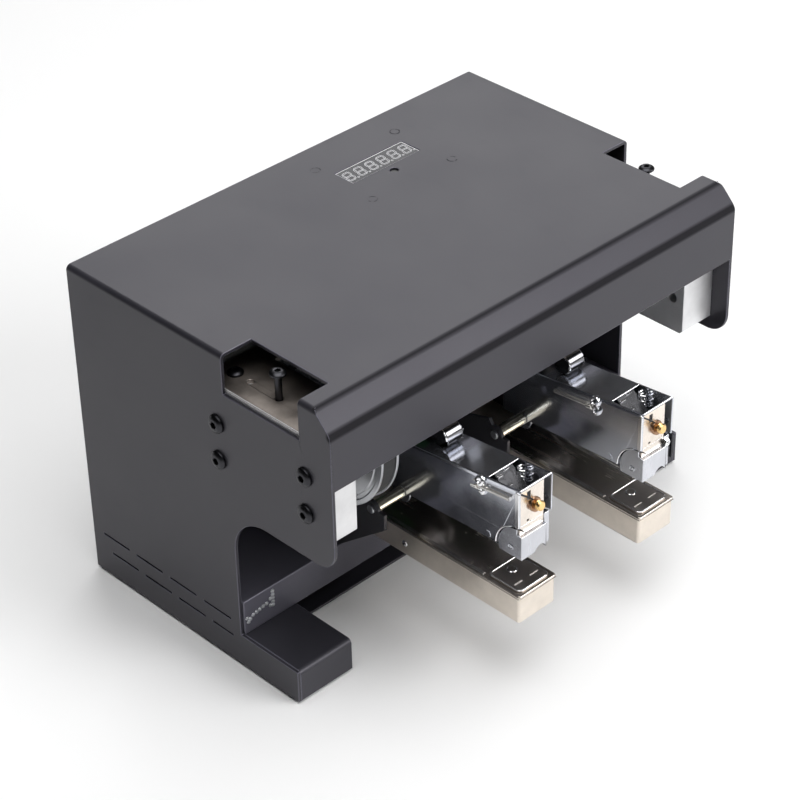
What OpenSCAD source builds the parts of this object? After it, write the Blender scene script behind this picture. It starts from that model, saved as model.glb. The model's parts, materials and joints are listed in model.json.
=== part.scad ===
// Electric stapler with two heads: a folded steel housing stands over a deck that carries two staplers.
// A motor turns a cam shaft by belt, and the cams push a beam down onto both stapler heads.
// X runs to the right, Y from the front to the back and Z up. Inside in_frame() Y is measured from
// the front face of the apron. The origin lies on the table, under the middle of the whole.

/* [Housing] */
// Width over the side panels
body_w = 300; // [296:1:330]
// Depth from the apron to the back panel
body_d = 199; // [196:1:230]
// Height from the table to the top
body_h = 198; // [196:1:215]
// Thickness of the housing sheet
sheet_t = 2; // [1.5:0.1:2.4]
// Outer radius of the bends along the top edges
bend_r = 3; // [2.6:0.1:5]
// Depth of the slanted edge above the apron
bevel_d = 11.3; // [9:0.1:13]
// Height of the slanted edge above the apron
bevel_h = 11.6; // [9:0.1:13]
// Height of the apron and the slanted edge together
apron_h = 44.2; // [38:0.1:48]

/* [Throat] */
// Depth of the throat in the side panels, from the apron
throat_y = 76.5; // [74:0.1:80]
// Height of the lower edge of the side panels' front flap
throat_z = 104; // [98:0.5:108]
// Radius of the throat's inner corner
throat_r = 26; // [15:0.5:30]
// Radius of the flap's lower front corner
flap_r = 13; // [5:0.5:16]

/* [Feet and deck] */
// Width of a foot
foot_w = 38.6; // [30:0.1:42]
// Height of a foot's top face
foot_h = 21.4; // [18:0.1:25]
// Distance from the apron back to the front of the feet
foot_y = 32.5; // [25:0.5:45]
// Thickness of the rubber pads
pad_t = 1.5; // [1:0.1:2]
// Height of the deck's folded front lip
lip_h = 21.5; // [20:0.1:25]
// Thickness of the deck plate
deck_t = 3; // [2.5:0.1:3.5]

/* [Corner notches] */
// Distance from the apron to a notch
notch_y = 22.4; // [18:0.1:26]
// Length of a notch
notch_l = 55.6; // [50:0.1:60]
// Width of a notch in the top
notch_w = 20.4; // [16:0.1:22]
// How far the side panel is cut below the top of the tie plate
notch_reveal = 3.5; // [2:0.1:6]

/* [Staplers] */
// Distance of each stapler from the middle
stapler_x = 46.5; // [46:0.1:47]
// Width of a base arm over its cap
arm_w = 28; // [26:0.1:28.4]
// Height of a base arm with its cap
arm_h = 17.6; // [16:0.1:19]
// How far the arms reach out in front of the apron
arm_reach = 40; // [39:0.5:42]
// Distance from the apron back to the heads' pivot
pivot_y = 47.5; // [46:0.1:49]
// Height of the pivot above the arms
pivot_rise = 22; // [21:0.1:23]
// Width of a head over its chrome cover
head_w = 24.3; // [24:0.1:25]
// Length of the cover in front of the pivot
cover_front = 85.3; // [85:0.1:85.6]
// Length of the cover behind the pivot
cover_rear = 14.5; // [12:0.1:18]
// Distance from the pivot square to the cover's top
cover_rise = 33.35; // [32.5:0.1:34.5]
// Slope of the cover's top at rest, in degrees
top_tilt = 6.44; // [6:0.1:7]
// Slope of the magazine's bottom at rest, in degrees
magazine_tilt = 3.1; // [2.8:0.1:3.3]
// Angle that a head turns until its nose meets the anvil
close_turn = 13.5; // [12:0.1:13.6]
// Further angle that the cover turns to drive a staple
drive_turn = 4.5; // [4:0.1:4.6]

/* [Press] */
// Diameter of the cam shaft
shaft_d = 15; // [12:0.1:15]
// Radius of a cam where it is smallest
cam_r = 13; // [12.5:0.1:14]
// Radius of the rollers under the cams
roller_r = 7; // [6:0.1:7.5]
// Radius of a plunger's rounded foot
plunger_r = 6; // [5:0.1:6.5]
// Distance from the apron back to the plungers
plunger_y = 25; // [24:0.1:26]
// Thickness of the press beam
beam_t = 7; // [6:0.1:7.5]
// Diameter of the guide posts
post_d = 8; // [6:0.1:8.2]
// Outer diameter of the belt wheel's flanges
wheel_d = 82.6; // [80:0.1:84]

/* [Side blocks] */
// Thickness of a side block, across the machine
block_w = 24; // [22:0.5:26]
// Depth of a side block
block_d = 81; // [79:0.5:82]
// Height of a side block
block_h = 64.6; // [62:0.1:66]
// Depth between the side screws
screw_dy = 64.7; // [62:0.1:66]
// Height between the side screws
screw_dz = 22.2; // [20:0.1:26]
// Thickness of the tie plate over the blocks
tie_t = 2.4; // [2:0.1:3]

/* [Display] */
// Width of the counter display
display_w = 51; // [45:0.5:55]
// Depth of the counter display
display_d = 15; // [13:0.5:16]
// Distance of the display's middle to the right
display_x = 37; // [30:0.5:45]
// Distance from the outside of the back panel to the display's middle
display_y = 38.5; // [37:0.5:41]

/* [Hidden] */
$fn = 48;

// Clearance of a fit, on the radius
fit = 0.05;
// Gap between bodies that move past each other
gap = 0.3;
// Length by which a cut runs past what it cuts
over = 1;

// Heights of the stack from the table up
deck_z = foot_h + lip_h;
arm_z = deck_z + arm_h;
pivot_z = arm_z + pivot_rise;
total_turn = close_turn + drive_turn;

// Height of a plunger's centre above the pivot when the cover under it slopes by an angle
function plunger_over(slope) =
    (cover_rise + plunger_r + gap + (pivot_y - plunger_y) * sin(slope)) / cos(slope);

plunger_z = pivot_z + plunger_over(top_tilt);
stroke = plunger_over(top_tilt) - plunger_over(top_tilt - total_turn);
beam_gap = 1.5;
beam_z = plunger_z + beam_gap;
beam_top = beam_z + beam_t;
roller_drop = 3.2;
roller_z = beam_z - roller_drop;
shaft_z = roller_z + roller_r + cam_r + fit;
block_y = 11.15;
shaft_y = block_y + block_d / 2;
block_top = shaft_z + block_h / 2;
tie_z = block_top + tie_t;
notch_z = tie_z - notch_reveal;
inner_x = body_w / 2 - sheet_t;
back_y = body_d - sheet_t;
display_mid = body_d - display_y;
top_z = body_h - sheet_t;
apron_z = body_h - apron_h;
echo(stroke = stroke, shaft_y = shaft_y, shaft_z = shaft_z, pivot_z = pivot_z, plunger_z = plunger_z);

// Small sizes of the housing
vent_n = 4;
vent_l = 22;
vent_h = 1.2;
vent_pitch = 28;
vent_rear = 9;
vent_shift = 6.5;
vent_low = 17.9;
vent_high = 28.4;
tab_w = 8;
tab_z_shares = [0.06, 0.5, 0.93];
head_d_share = 1.75;
head_h_share = 0.55;
dome_r_share = 0.72;
hex_share = 0.66;
m3 = 3;
m4 = 4;
m5 = 5;
m6 = 6;

// Places the drawing, whose Y starts at the apron, in the part's own frame
module in_frame() translate([0, apron_y, 0]) children();

// Range from a half below a middle to a half above it
function around(mid, half) = [mid - half, mid + half];

module block(x, y, z) translate([x[0], y[0], z[0]]) cube([x[1] - x[0], y[1] - y[0], z[1] - z[0]]);

// Extrudes a drawing made in Y and Z from one X to another
module span_x(x0, x1) translate([x0, 0, 0]) rotate([90, 0, 90]) linear_extrude(x1 - x0) children();

// Extrudes a drawing made in X and Z from one Y to another
module span_y(y0, y1) translate([0, y1, 0]) rotate([90, 0, 0]) linear_extrude(y1 - y0) children();

module rod_x(x0, x1, d, y, z) translate([x0, y, z]) rotate([0, 90, 0]) cylinder(d = d, h = x1 - x0);

module rod_y(y0, y1, d, x, z) translate([x, y0, z]) rotate([-90, 0, 0]) cylinder(d = d, h = y1 - y0);

module rod_z(z0, z1, d, x, y) translate([x, y, z0]) cylinder(d = d, h = z1 - z0);

// Button head screw with a socket, its head upwards and its seat at the origin
module button_screw(d, l) {
    head_d = d * head_d_share;
    head_h = d * head_h_share;
    dome_r = head_d * dome_r_share;
    difference() {
        union() {
            intersection() {
                cylinder(d = head_d, h = head_h);
                translate([0, 0, head_h - dome_r]) sphere(r = dome_r);
            }
            translate([0, 0, -l]) cylinder(d = d - 2 * fit, h = l + over / 2);
        }
        translate([0, 0, head_h / 3]) cylinder(d = d * hex_share, h = head_h, $fn = 6);
    }
}

module side_outline() {
    difference() {
        translate([0, pad_t]) square([body_d, body_h - pad_t]);
        translate([-over, foot_h]) square([throat_y + over, throat_z - foot_h - throat_r]);
        translate([-over, foot_h]) square([throat_y - throat_r + over, throat_z - foot_h]);
        translate([throat_y - throat_r, throat_z - throat_r]) circle(r = throat_r);
        translate([-over, -over]) square([foot_y + over, foot_h + 2 * over]);
        polygon([[0, body_h - bevel_h], [bevel_d, body_h], [bevel_d, body_h + over],
            [-over, body_h + over], [-over, body_h - bevel_h]]);
        difference() {
            translate([-over, throat_z - over]) square(flap_r + over);
            translate([flap_r, throat_z + flap_r]) circle(r = flap_r);
        }
    }
}

module rounded_top(w, h, r) {
    translate([-w / 2, 0]) square([w, h - r]);
    translate([r - w / 2, 0]) square([w - 2 * r, h]);
    for (s = [-1, 1]) translate([s * (w / 2 - r), h - r]) circle(r = r);
}

module shell_profile() {
    difference() {
        rounded_top(body_w, body_h, bend_r);
        translate([0, -over]) rounded_top(2 * inner_x, top_z + over, bend_r - sheet_t);
    }
}

// Slanted edge and apron, one folded sheet between the side panels
module front_sheet() {
    bevel_angle = atan2(bevel_d, bevel_h);
    low = sheet_t * tan(bevel_angle / 2);
    high = sheet_t * tan((90 - bevel_angle) / 2);
    span_x(-inner_x, inner_x) polygon([[0, apron_z], [sheet_t, apron_z], [sheet_t, body_h - bevel_h - low],
        [bevel_d + high, top_z], [bevel_d + high, body_h], [bevel_d, body_h], [0, body_h - bevel_h]]);
}

module side_screw_places() {
    for (y = [-1, 1]) for (z = [-1, 1])
        translate([0, shaft_y + y * screw_dy / 2, shaft_z + z * screw_dz / 2]) children();
}

module tab_places() {
    for (s = [-1, 1]) for (share = tab_z_shares)
        translate([s * (inner_x - tab_w / 2), 0, body_h * share]) mirror([s < 0 ? 1 : 0, 0, 0]) children();
}

module housing() {
    color("#2c2c2f") in_frame() difference() {
        union() {
            intersection() {
                span_y(0, body_d) shell_profile();
                span_x(-body_w / 2, body_w / 2) side_outline();
            }
            front_sheet();
            tab_places() block([-tab_w / 2, (tab_w + sheet_t) / 2], [back_y - tab_w, back_y],
                around(0, tab_w / 2));
        }
        for (s = [-1, 1]) translate([s * body_w / 2, notch_y, notch_z])
            translate([-notch_w, 0, 0]) cube([2 * notch_w, notch_l, body_h]);
        rod = body_w / 2 + over;
        side_screw_places() rod_x(-rod, rod, m6 + 2 * gap, 0, 0);
        block(around(display_x, display_w / 2), around(display_mid, display_d / 2),
            [top_z - over, body_h + over]);
        rod_z(top_z - over, body_h + over, button_hole_d, display_x, button_y);
        tab_places() rod_y(back_y - tab_w - over, back_y + over, m3, 0, 0);
        for (i = [0:vent_n - 1]) {
            vent_slot(body_d - vent_rear - i * vent_pitch, vent_high);
            vent_slot(body_d - vent_rear - vent_shift - i * vent_pitch, vent_low);
        }
    }
}

module vent_slot(y_end, z) {
    start = max(y_end - vent_l, throat_y + vent_shift);
    block([-body_w, body_w], [start, y_end], [z - vent_h / 2, z + vent_h / 2]);
}

// Openings of the back panel
inlet_w = 27.4;
inlet_h = 20;
inlet_side = 52;
inlet_x = inner_x - inlet_side;
inlet_z = 78;
switch_w = 13;
switch_h = 19.4;
switch_gap = 34;
switch_x = inlet_x - switch_gap;
socket_d = 14;
jack_d = 6.5;
jack_l = 14;
socket_side = 20;
socket_x = inner_x - socket_side;
flange_w = 3;
flange_t = 1.5;
rocker_wall = 1.5;

module back_panel() {
    color("#2a2a2c") in_frame() difference() {
        block([-inner_x, inner_x], [back_y, body_d], [pad_t, top_z]);
        tab_places() rod_y(back_y - over, body_d + over, m3 + 2 * gap, 0, 0);
        block(around(inlet_x, inlet_w / 2), [back_y - over, body_d + over],
            around(inlet_z, inlet_h / 2));
        block(around(switch_x, switch_w / 2), [back_y - over, body_d + over],
            around(inlet_z, switch_h / 2));
        rod_y(back_y - over, body_d + over, socket_d, socket_x, inlet_z);
        for (i = [0:grille_n - 1]) translate([-stapler_x, 0, shaft_z - i * grille_pitch])
            block(around(0, grille_l / 2), [back_y - over, body_d + over], around(0, grille_h / 2));
    }
}

grille_n = 6;
grille_pitch = 7;
grille_l = 50;
grille_h = 2.4;

// Places where pieces stand on the deck
lip_y = 75.2;
post_side = 36.5;
post_x = inner_x - block_w - post_side;
post_y = 84;
arm_end = 98;
arm_screw_y = 87;
bracket_end = 106;
motor_front = 11;
motor_rear = 14;
motor_d = back_y - bracket_end - motor_front - motor_rear;
motor_y = bracket_end + motor_front + motor_d / 2;
motor_z = 95;
foot_plate_t = 3;

// The belt wheel on the cam shaft, and the motor's bracket beside it
hub_w = 6;
wheel_w = 12;
wheel_side = 11;
wheel_x = block_w + wheel_side + hub_w - inner_x;
bracket_side = 4;
bracket_x = -wheel_x - wheel_w - bracket_side;

module deck() {
    color("#2c2c2f") in_frame() difference() {
        union() {
            block([-inner_x, inner_x], [lip_y, back_y], [deck_z - deck_t, deck_z]);
            block([-inner_x, inner_x], [lip_y, lip_y + deck_t], [foot_h, deck_z]);
        }
        for (s = [-1, 1]) {
            rod_z(0, deck_z + over, m5, s * stapler_x, arm_screw_y);
            rod_z(0, deck_z + over, m4, s * post_x, post_y);
        }
    }
}

bottom_t = 1.5;
bottom_flange = 10;

module bottom_cover() {
    half = body_w / 2 - foot_w;
    front = lip_y + 2 * deck_t;
    color("#2a2a2c") in_frame() {
        block([-half, half], [front, back_y], [pad_t, pad_t + bottom_t]);
        for (s = [0, 1]) translate([s * (2 * half - bottom_t) - half, front, pad_t])
            cube([bottom_t, back_y - front, bottom_flange]);
    }
}

// Folded foot: top, front, inner side and bottom, closed outside by the side panel
module foot(s) {
    out = inner_x;
    in = body_w / 2 - foot_w;
    color("#2c2c2f") in_frame() mirror([s < 0 ? 1 : 0, 0, 0]) difference() {
        union() {
            block([in, out], [foot_y, back_y], [pad_t, foot_h - bend_r]);
            block([in, out], [foot_y + bend_r, back_y], [pad_t, foot_h]);
            rod_x(in, out, 2 * bend_r, foot_y + bend_r, foot_h - bend_r);
        }
        block([in + sheet_t, out + over], [foot_y + sheet_t, back_y + over],
            [pad_t + sheet_t, foot_h - sheet_t]);
    }
}

module left_foot() foot(-1);

module right_foot() foot(1);

pad_l = 40;
pad_w = 27;
pad_in = 2;
pad_rear = 8;

module foot_pads() {
    color("#1b1b1c") in_frame() for (s = [-1, 1]) for (y = [foot_y + pad_in, back_y - pad_rear - pad_l])
        translate([s * (body_w / 2 - pad_in - pad_w / 2), y + pad_l / 2, pad_t / 2])
            cube([pad_w, pad_l, pad_t], center = true);
}

bearing_d = 32;
bearing_w = 9;
chamfer = 2;

// Aluminium block that carries one end of the cam shaft
module side_block(s) {
    in = inner_x - block_w;
    color("#c9cbce") in_frame() mirror([s < 0 ? 1 : 0, 0, 0]) difference() {
        z0 = block_top - block_h;
        span_x(in, inner_x) polygon([[block_y, z0 + chamfer], [block_y + chamfer, z0],
            [block_y + block_d, z0], [block_y + block_d, block_top], [block_y, block_top]]);
        rod_x(in - over, in + bearing_w, bearing_d + 2 * fit, shaft_y, shaft_z);
        rod_x(in, inner_x + over, shaft_d + 2 * chamfer, shaft_y, shaft_z);
        side_screw_places() rod_x(in - over, inner_x + over, m6, 0, 0);
        tie_screw_places() rod_z(-tie_screw_l - over, over, m5, 0, 0);
        rod_z(shaft_z, block_top + over, m4, in + block_w / 2, shaft_y);
    }
}

tie_screw_l = 8;

module tie_screw_places() {
    for (s = [-1, 1]) for (y = [-1, 1])
        translate([s * (inner_x - block_w / 2), shaft_y + y * screw_dy / 2, block_top]) children();
}

module left_block() side_block(-1);

module right_block() side_block(1);

module side_screws() {
    color("#1d1d1f") in_frame() for (s = [-1, 1]) side_screw_places()
        translate([s * body_w / 2, 0, 0]) rotate([0, s * 90, 0]) button_screw(m6, block_w / 2);
}

// Slot in the tie plate for the belt wheel
slot_half = 27.5;
tie_edge = 3;
tap_y_share = 0.38;

module tie_plate() {
    color("#6a625c") in_frame() difference() {
        block([-inner_x + fit, inner_x - fit], [block_y + tie_edge, block_y + block_d + tie_edge],
            [block_top, tie_z]);
        block([wheel_x - hub_w - over, wheel_x + wheel_w + over], [shaft_y - slot_half, shaft_y + slot_half],
            [block_top - over, tie_z + over]);
        tie_screw_places() rod_z(-over, tie_t + over, m5 + 2 * gap, 0, 0);
        for (s = [-1, 1]) {
            rod_z(block_top - over, tie_z + over, m4 + 2 * gap, s * (inner_x - block_w / 2), shaft_y);
            rod_z(block_top - over, tie_z + over, m4, s * (inner_x - block_w / 2),
                shaft_y + notch_l * tap_y_share);
            rod_z(block_top - over, tie_z + over, m4, s * post_x, post_y);
        }
    }
}

module tie_screws() {
    color("#1d1d1f") in_frame() {
        tie_screw_places() translate([0, 0, tie_t]) button_screw(m5, tie_screw_l);
        for (s = [-1, 1]) translate([s * post_x, post_y, tie_z]) button_screw(m4, tie_screw_l);
    }
}

adjuster_rise = 12.4;
adjuster_in = 8;

// Upright screws over the bearings
module adjusting_screws() {
    color("#3a3a3c") in_frame() for (s = [-1, 1])
        translate([s * (inner_x - block_w / 2), shaft_y, tie_z + adjuster_rise])
            button_screw(m4, adjuster_rise + tie_t + adjuster_in);
}

module shaft_bearings() {
    in = inner_x - block_w;
    color("#a9abad") in_frame() for (s = [-1, 1]) mirror([s < 0 ? 1 : 0, 0, 0]) difference() {
        rod_x(in, in + bearing_w, bearing_d, shaft_y, shaft_z);
        rod_x(in - over, inner_x, shaft_d + 2 * fit, shaft_y, shaft_z);
        difference() {
            rod_x(in - over, in + over, bearing_d - 2 * chamfer, shaft_y, shaft_z);
            rod_x(in - 2 * over, inner_x, shaft_d + 2 * chamfer, shaft_y, shaft_z);
        }
    }
}

module guide_posts() {
    color("#b9bbbd") in_frame() for (s = [-1, 1]) difference() {
        union() {
            rod_z(deck_z, block_top, post_d, s * post_x, post_y);
            rod_z(deck_z - deck_t, deck_z + over, m4 - 2 * fit, s * post_x, post_y);
        }
        rod_z(block_top - tie_screw_l - over, block_top + over, m4, s * post_x, post_y);
    }
}

boss_d = 13;
boss_drop = 6;
spring_turns = 10;
spring_wire = 1.4;
spring_mean = 10.9;
ring_n = 8;
wire_n = 6;
spring_top = beam_z - boss_drop - fit;
spring_l = spring_top - deck_z - fit;
spring_pitch = (spring_l - spring_wire) / spring_turns;

// Point on the wire's skin, at a share of a turn along the spring and a share of a turn round the wire
function wire_point(turn, side) =
    let (half = spring_wire / 2, r = spring_mean / 2 + half * cos(360 * side))
    [r * cos(360 * turn), r * sin(360 * turn), half + turn * spring_pitch + half * sin(360 * side)];

// Least gap from the wire to itself, between points of its middle line over half a turn apart
wire_middle = [for (i = [0:spring_turns * ring_n]) let (a = 360 * i / ring_n)
    [spring_mean / 2 * cos(a), spring_mean / 2 * sin(a), spring_pitch * i / ring_n]];
spring_gap = min([for (i = [0:len(wire_middle) - 1]) for (k = [i + ring_n / 2 + 1:len(wire_middle) - 1])
    norm(wire_middle[i] - wire_middle[k])]) - spring_wire;
echo(spring_gap = spring_gap, spring_travel_left = spring_gap * spring_turns - stroke);

module return_spring() {
    rings = spring_turns * ring_n;
    points = [for (i = [0:rings]) for (k = [0:wire_n - 1]) wire_point(i / ring_n, k / wire_n)];
    sides = [for (i = [0:rings - 1]) for (k = [0:wire_n - 1])
        let (a = i * wire_n + k, b = i * wire_n + (k + 1) % wire_n)
        each [[a, a + wire_n, b], [b, a + wire_n, b + wire_n]]];
    ends = [for (k = [1:wire_n - 2]) each [[0, k, k + 1],
        [rings * wire_n, rings * wire_n + k + 1, rings * wire_n + k]]];
    polyhedron(points, concat(sides, ends));
}

module return_springs() {
    color("#8d8f92") in_frame() for (s = [-1, 1])
        translate([s * post_x, post_y, deck_z + fit]) return_spring();
}

gearbox_l = 32;
motor_side = 20;
motor_end = switch_x - switch_w / 2 - rocker_wall - motor_side;
motor_l = motor_end - chamfer + bracket_x - foot_plate_t - gearbox_l;
motor_shaft_d = 10;

module gearmotor() {
    x0 = -bracket_x + foot_plate_t;
    x1 = x0 + gearbox_l;
    color("#9a9ca0") in_frame() difference() {
        union() {
            rod_x(x0, x1, motor_d, motor_y, motor_z);
            rod_x(x1, x1 + motor_l, motor_d - 2 * chamfer, motor_y, motor_z);
            rod_x(x1 + motor_l, motor_end, motor_d / 2, motor_y, motor_z);
            block([x1 + m6, x1 + motor_l / 2], around(motor_y, m6), [motor_z, motor_z + motor_d / 2 + m6]);
        }
        rod_x(x0 - over, x0 + gearbox_l / 2, motor_shaft_d + 2 * fit, motor_y, motor_z);
    }
}

module motor_bracket() {
    x0 = -bracket_x;
    half = motor_d / 2;
    color("#5c5e61") in_frame() difference() {
        union() {
            block([x0, x0 + foot_plate_t], [motor_y - half, motor_y + half], [deck_z, motor_z + half]);
            block([x0, x0 + gearbox_l], [motor_y - half, motor_y + half], [deck_z, deck_z + foot_plate_t]);
        }
        rod_x(x0 - over, x0 + foot_plate_t + over, motor_shaft_d + 2 * chamfer, motor_y, motor_z);
    }
}

// Belt path round the two wheels
belt_t = 2;
belt_w = 9;
wheel_r = 38;
motor_wheel_r = 12;
belt_x = wheel_x + (wheel_w - belt_w) / 2;
belt_run = norm([motor_y - shaft_y, motor_z - shaft_z]);
belt_fall = atan2(motor_z - shaft_z, motor_y - shaft_y);
belt_lean = asin((wheel_r - motor_wheel_r) / belt_run);

belt_arc_n = 36;
full_turn = 360;

// Points along an arc round a centre, from one angle to another
function arc_points(c, r, a0, a1) =
    [for (i = [0:belt_arc_n]) let (a = a0 + (a1 - a0) * i / belt_arc_n) c + r * [cos(a), sin(a)]];

// The belt leaves the wheels at the points where a straight run touches both
module belt_outline(grow) {
    wrap = 90 - belt_lean;
    polygon(concat(
        arc_points([shaft_y, shaft_z], wheel_r + grow, belt_fall + wrap, belt_fall - wrap + full_turn),
        arc_points([motor_y, motor_z], motor_wheel_r + grow, belt_fall - wrap, belt_fall + wrap)));
}

module drive_belt() {
    color("#232324") in_frame() span_x(belt_x, belt_x + belt_w) difference() {
        belt_outline(gap + belt_t);
        belt_outline(gap);
    }
}

hub_d = 24;
groove_w = 2.5;
groove_d = wheel_d - 3 * chamfer;

module drive_wheel() {
    x1 = wheel_x + wheel_w;
    flange = (wheel_w - belt_w) / 2;
    color("#b4b7ba") in_frame() difference() {
        union() {
            rod_x(wheel_x, x1, 2 * wheel_r, shaft_y, shaft_z);
            rod_x(wheel_x, wheel_x + flange - fit, wheel_d, shaft_y, shaft_z);
            rod_x(x1 - flange + fit, x1, wheel_d, shaft_y, shaft_z);
            rod_x(wheel_x - hub_w, wheel_x, hub_d, shaft_y, shaft_z);
        }
        rod_x(wheel_x - hub_w - over, x1 + over, shaft_d + 2 * fit, shaft_y, shaft_z);
        difference() {
            rod_x(wheel_x - over, wheel_x + over / 2, groove_d, shaft_y, shaft_z);
            rod_x(wheel_x - 2 * over, wheel_x + over, groove_d - 2 * groove_w, shaft_y, shaft_z);
        }
    }
}

module motor_wheel() {
    flange = (wheel_w - belt_w) / 2;
    x1 = wheel_x + wheel_w;
    color("#b4b7ba") in_frame() {
        rod_x(wheel_x, x1, 2 * motor_wheel_r, motor_y, motor_z);
        rod_x(wheel_x, wheel_x + flange - fit, 2 * (motor_wheel_r + belt_t), motor_y, motor_z);
        rod_x(x1 - flange + fit, x1, 2 * (motor_wheel_r + belt_t), motor_y, motor_z);
        rod_x(x1, -bracket_x + foot_plate_t + gearbox_l / 2 - fit, motor_shaft_d, motor_y, motor_z);
    }
}

shaft_end = 10;

module main_shaft() {
    color("#c3c5c7") in_frame() rod_x(-inner_x + shaft_end, inner_x - shaft_end, shaft_d, shaft_y, shaft_z);
}

// Cam whose rise is the same for every degree, worked out from the path of the roller's centre
cam_x = 20;
cam_w = 9;
cam_step = 6;
pitch_r = cam_r + roller_r + fit;

function cam_point(a) =
    let (d = pitch_r + stroke * a / 180, slope = stroke / PI,
        t = [slope * sin(a) + d * cos(a), d * sin(a) - slope * cos(a)],
        n = [t[1], -t[0]] / norm(t),
        p = [d * sin(a), -d * cos(a)] - (roller_r + fit) * n)
    [max(p[0], 0), p[1]];

module cam_outline() {
    half = [for (a = [0:cam_step:180]) cam_point(a)];
    other = [for (i = [len(half) - 2:-1:0]) [-half[i][0], half[i][1]]];
    polygon(concat(half, other));
}

module lift_cams() {
    color("#8f9295") in_frame() for (s = [-1, 1]) difference() {
        translate([0, shaft_y, shaft_z]) span_x(s * cam_x - cam_w / 2, s * cam_x + cam_w / 2) cam_outline();
        rod_x(s * cam_x - cam_w, s * cam_x + cam_w, shaft_d + 2 * fit, shaft_y, shaft_z);
    }
}

lug_t = 4;
lug_half = 8;
lug_drop = 6;
window_half = 14;
beam_end_x = post_x + (boss_d - over) / 2;
beam_in = 21.5;
beam_in_x = post_x - beam_in;
beam_mid_x = 31;
bar_d = 14;
roller_pin_d = 5;

module press_beam() {
    front = plunger_y + plunger_r;
    rear = post_y + boss_d / 2;
    gap_x = cam_w / 2 + over;
    color("#3b3c3e") in_frame() difference() {
        union() {
            block([-beam_end_x, beam_end_x], [front, front + bar_d], [beam_z, beam_top]);
            block([-beam_mid_x, beam_mid_x], [front, shaft_y + window_half + lug_t], [beam_z, beam_top]);
            for (s = [-1, 1]) {
                translate([s * (beam_end_x + beam_in_x) / 2, (front + rear) / 2, (beam_z + beam_top) / 2])
                    cube([beam_end_x - beam_in_x, rear - front, beam_t], center = true);
                rod_z(beam_z - boss_drop, beam_top + boss_drop, boss_d - over, s * post_x, post_y);
                for (k = [-1, 1])
                    block(around(s * cam_x + k * (gap_x + lug_t / 2), lug_t / 2), around(shaft_y, lug_half),
                        [roller_z - lug_drop, beam_z + beam_t / 2]);
            }
        }
        for (s = [-1, 1]) {
            rod_z(beam_z - boss_drop - over, beam_top + boss_drop + over, post_d + 2 * fit,
                s * post_x, post_y);
            block(around(s * cam_x, gap_x), around(shaft_y, window_half), [beam_z - over, beam_top + over]);
            rod_x(s * cam_x - gap_x - lug_t - over, s * cam_x + gap_x + lug_t + over, roller_pin_d + 2 * fit,
                shaft_y, roller_z);
        }
    }
}

module cam_rollers() {
    half = cam_w / 2 + over;
    color("#b0b2b4") in_frame() for (s = [-1, 1]) {
        rod_x(s * cam_x - half - lug_t, s * cam_x + half + lug_t, roller_pin_d, shaft_y, roller_z);
        rod_x(s * cam_x - half + gap, s * cam_x + half - gap, 2 * roller_r, shaft_y, roller_z);
    }
}

plunger_w = 12;

// Chrome straps on the front of the beam, with a rounded foot over each head
module plungers() {
    color("#d5d7da") in_frame() for (s = [-1, 1])
        span_x(s * stapler_x - plunger_w / 2, s * stapler_x + plunger_w / 2) {
            translate([plunger_y, plunger_z]) circle(r = plunger_r);
            translate([plunger_y, plunger_z]) square([plunger_r, beam_top - plunger_z]);
        }
}

// Base arm of a stapler: a nickel-plated channel, its cap and the anvil plate
cap_t = 1.2;
cap_side = 0.5;
cap_fold = 6;
arm_wall = 2;
lug_front = 78;

module arm(x) {
    half = arm_w / 2 - cap_side;
    color("#b9aea4") in_frame() difference() {
        block(around(x, half), [cap_side - arm_reach, arm_end], [deck_z, arm_z - cap_t]);
        block(around(x, half - arm_wall), [arm_wall - arm_reach, lug_front],
            [deck_z - over, arm_z - cap_t - arm_wall]);
        rod_z(deck_z - over, arm_z - arm_wall, m5, x, arm_screw_y);
    }
}

module left_arm() arm(-stapler_x);

module right_arm() arm(stapler_x);

cap_end = 70;

module arm_cap(x) {
    half = arm_w / 2;
    color("#8c857e") in_frame() difference() {
        block(around(x, half), [-arm_reach, cap_end], [arm_z - cap_fold, arm_z]);
        block(around(x, half - cap_side), [cap_side - arm_reach, cap_end + over],
            [arm_z - cap_fold - over, arm_z - cap_t]);
    }
}

module left_arm_cap() arm_cap(-stapler_x);

module right_arm_cap() arm_cap(stapler_x);

anvil_w = 23;
anvil_d = 23;
anvil_t = 0.8;
anvil_in = 2;
corner_r = 3;
rivet_d = 5;

// Anvil plate with rounded corners, a rivet and two hollows that bend the staple's legs
module anvil() {
    translate([0, anvil_in + anvil_d / 2 - arm_reach, arm_z]) difference() {
        union() {
            cube([anvil_w - 2 * corner_r, anvil_d, 2 * anvil_t], center = true);
            cube([anvil_w, anvil_d - 2 * corner_r, 2 * anvil_t], center = true);
            for (i = [-1, 1]) for (j = [-1, 1])
                translate([i * (anvil_w / 2 - corner_r), j * (anvil_d / 2 - corner_r), -anvil_t])
                    cylinder(r = corner_r, h = 2 * anvil_t);
            translate([0, rivet_d, 0]) cylinder(d = rivet_d, h = anvil_t + cap_side);
        }
        translate([-anvil_w, -anvil_d, -2 * anvil_t]) cube([2 * anvil_w, 2 * anvil_d, 2 * anvil_t]);
        for (i = [-1, 1]) translate([i * anvil_w / 4, -anvil_d / 4, anvil_t])
            cube([anvil_w / 4, corner_r / 2, anvil_t], center = true);
    }
}

module anvils() {
    color("#a39a91") in_frame() for (s = [-1, 1]) translate([s * stapler_x, 0, 0]) anvil();
}

// Steel bracket that holds a head's pivot: two walls, joined behind the arm
wall_t = 2;
wall_out = 34;
wall_in = 14.3;
ear_r = 9.5;
pin_d = 5;
bracket_top = 32;

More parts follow.
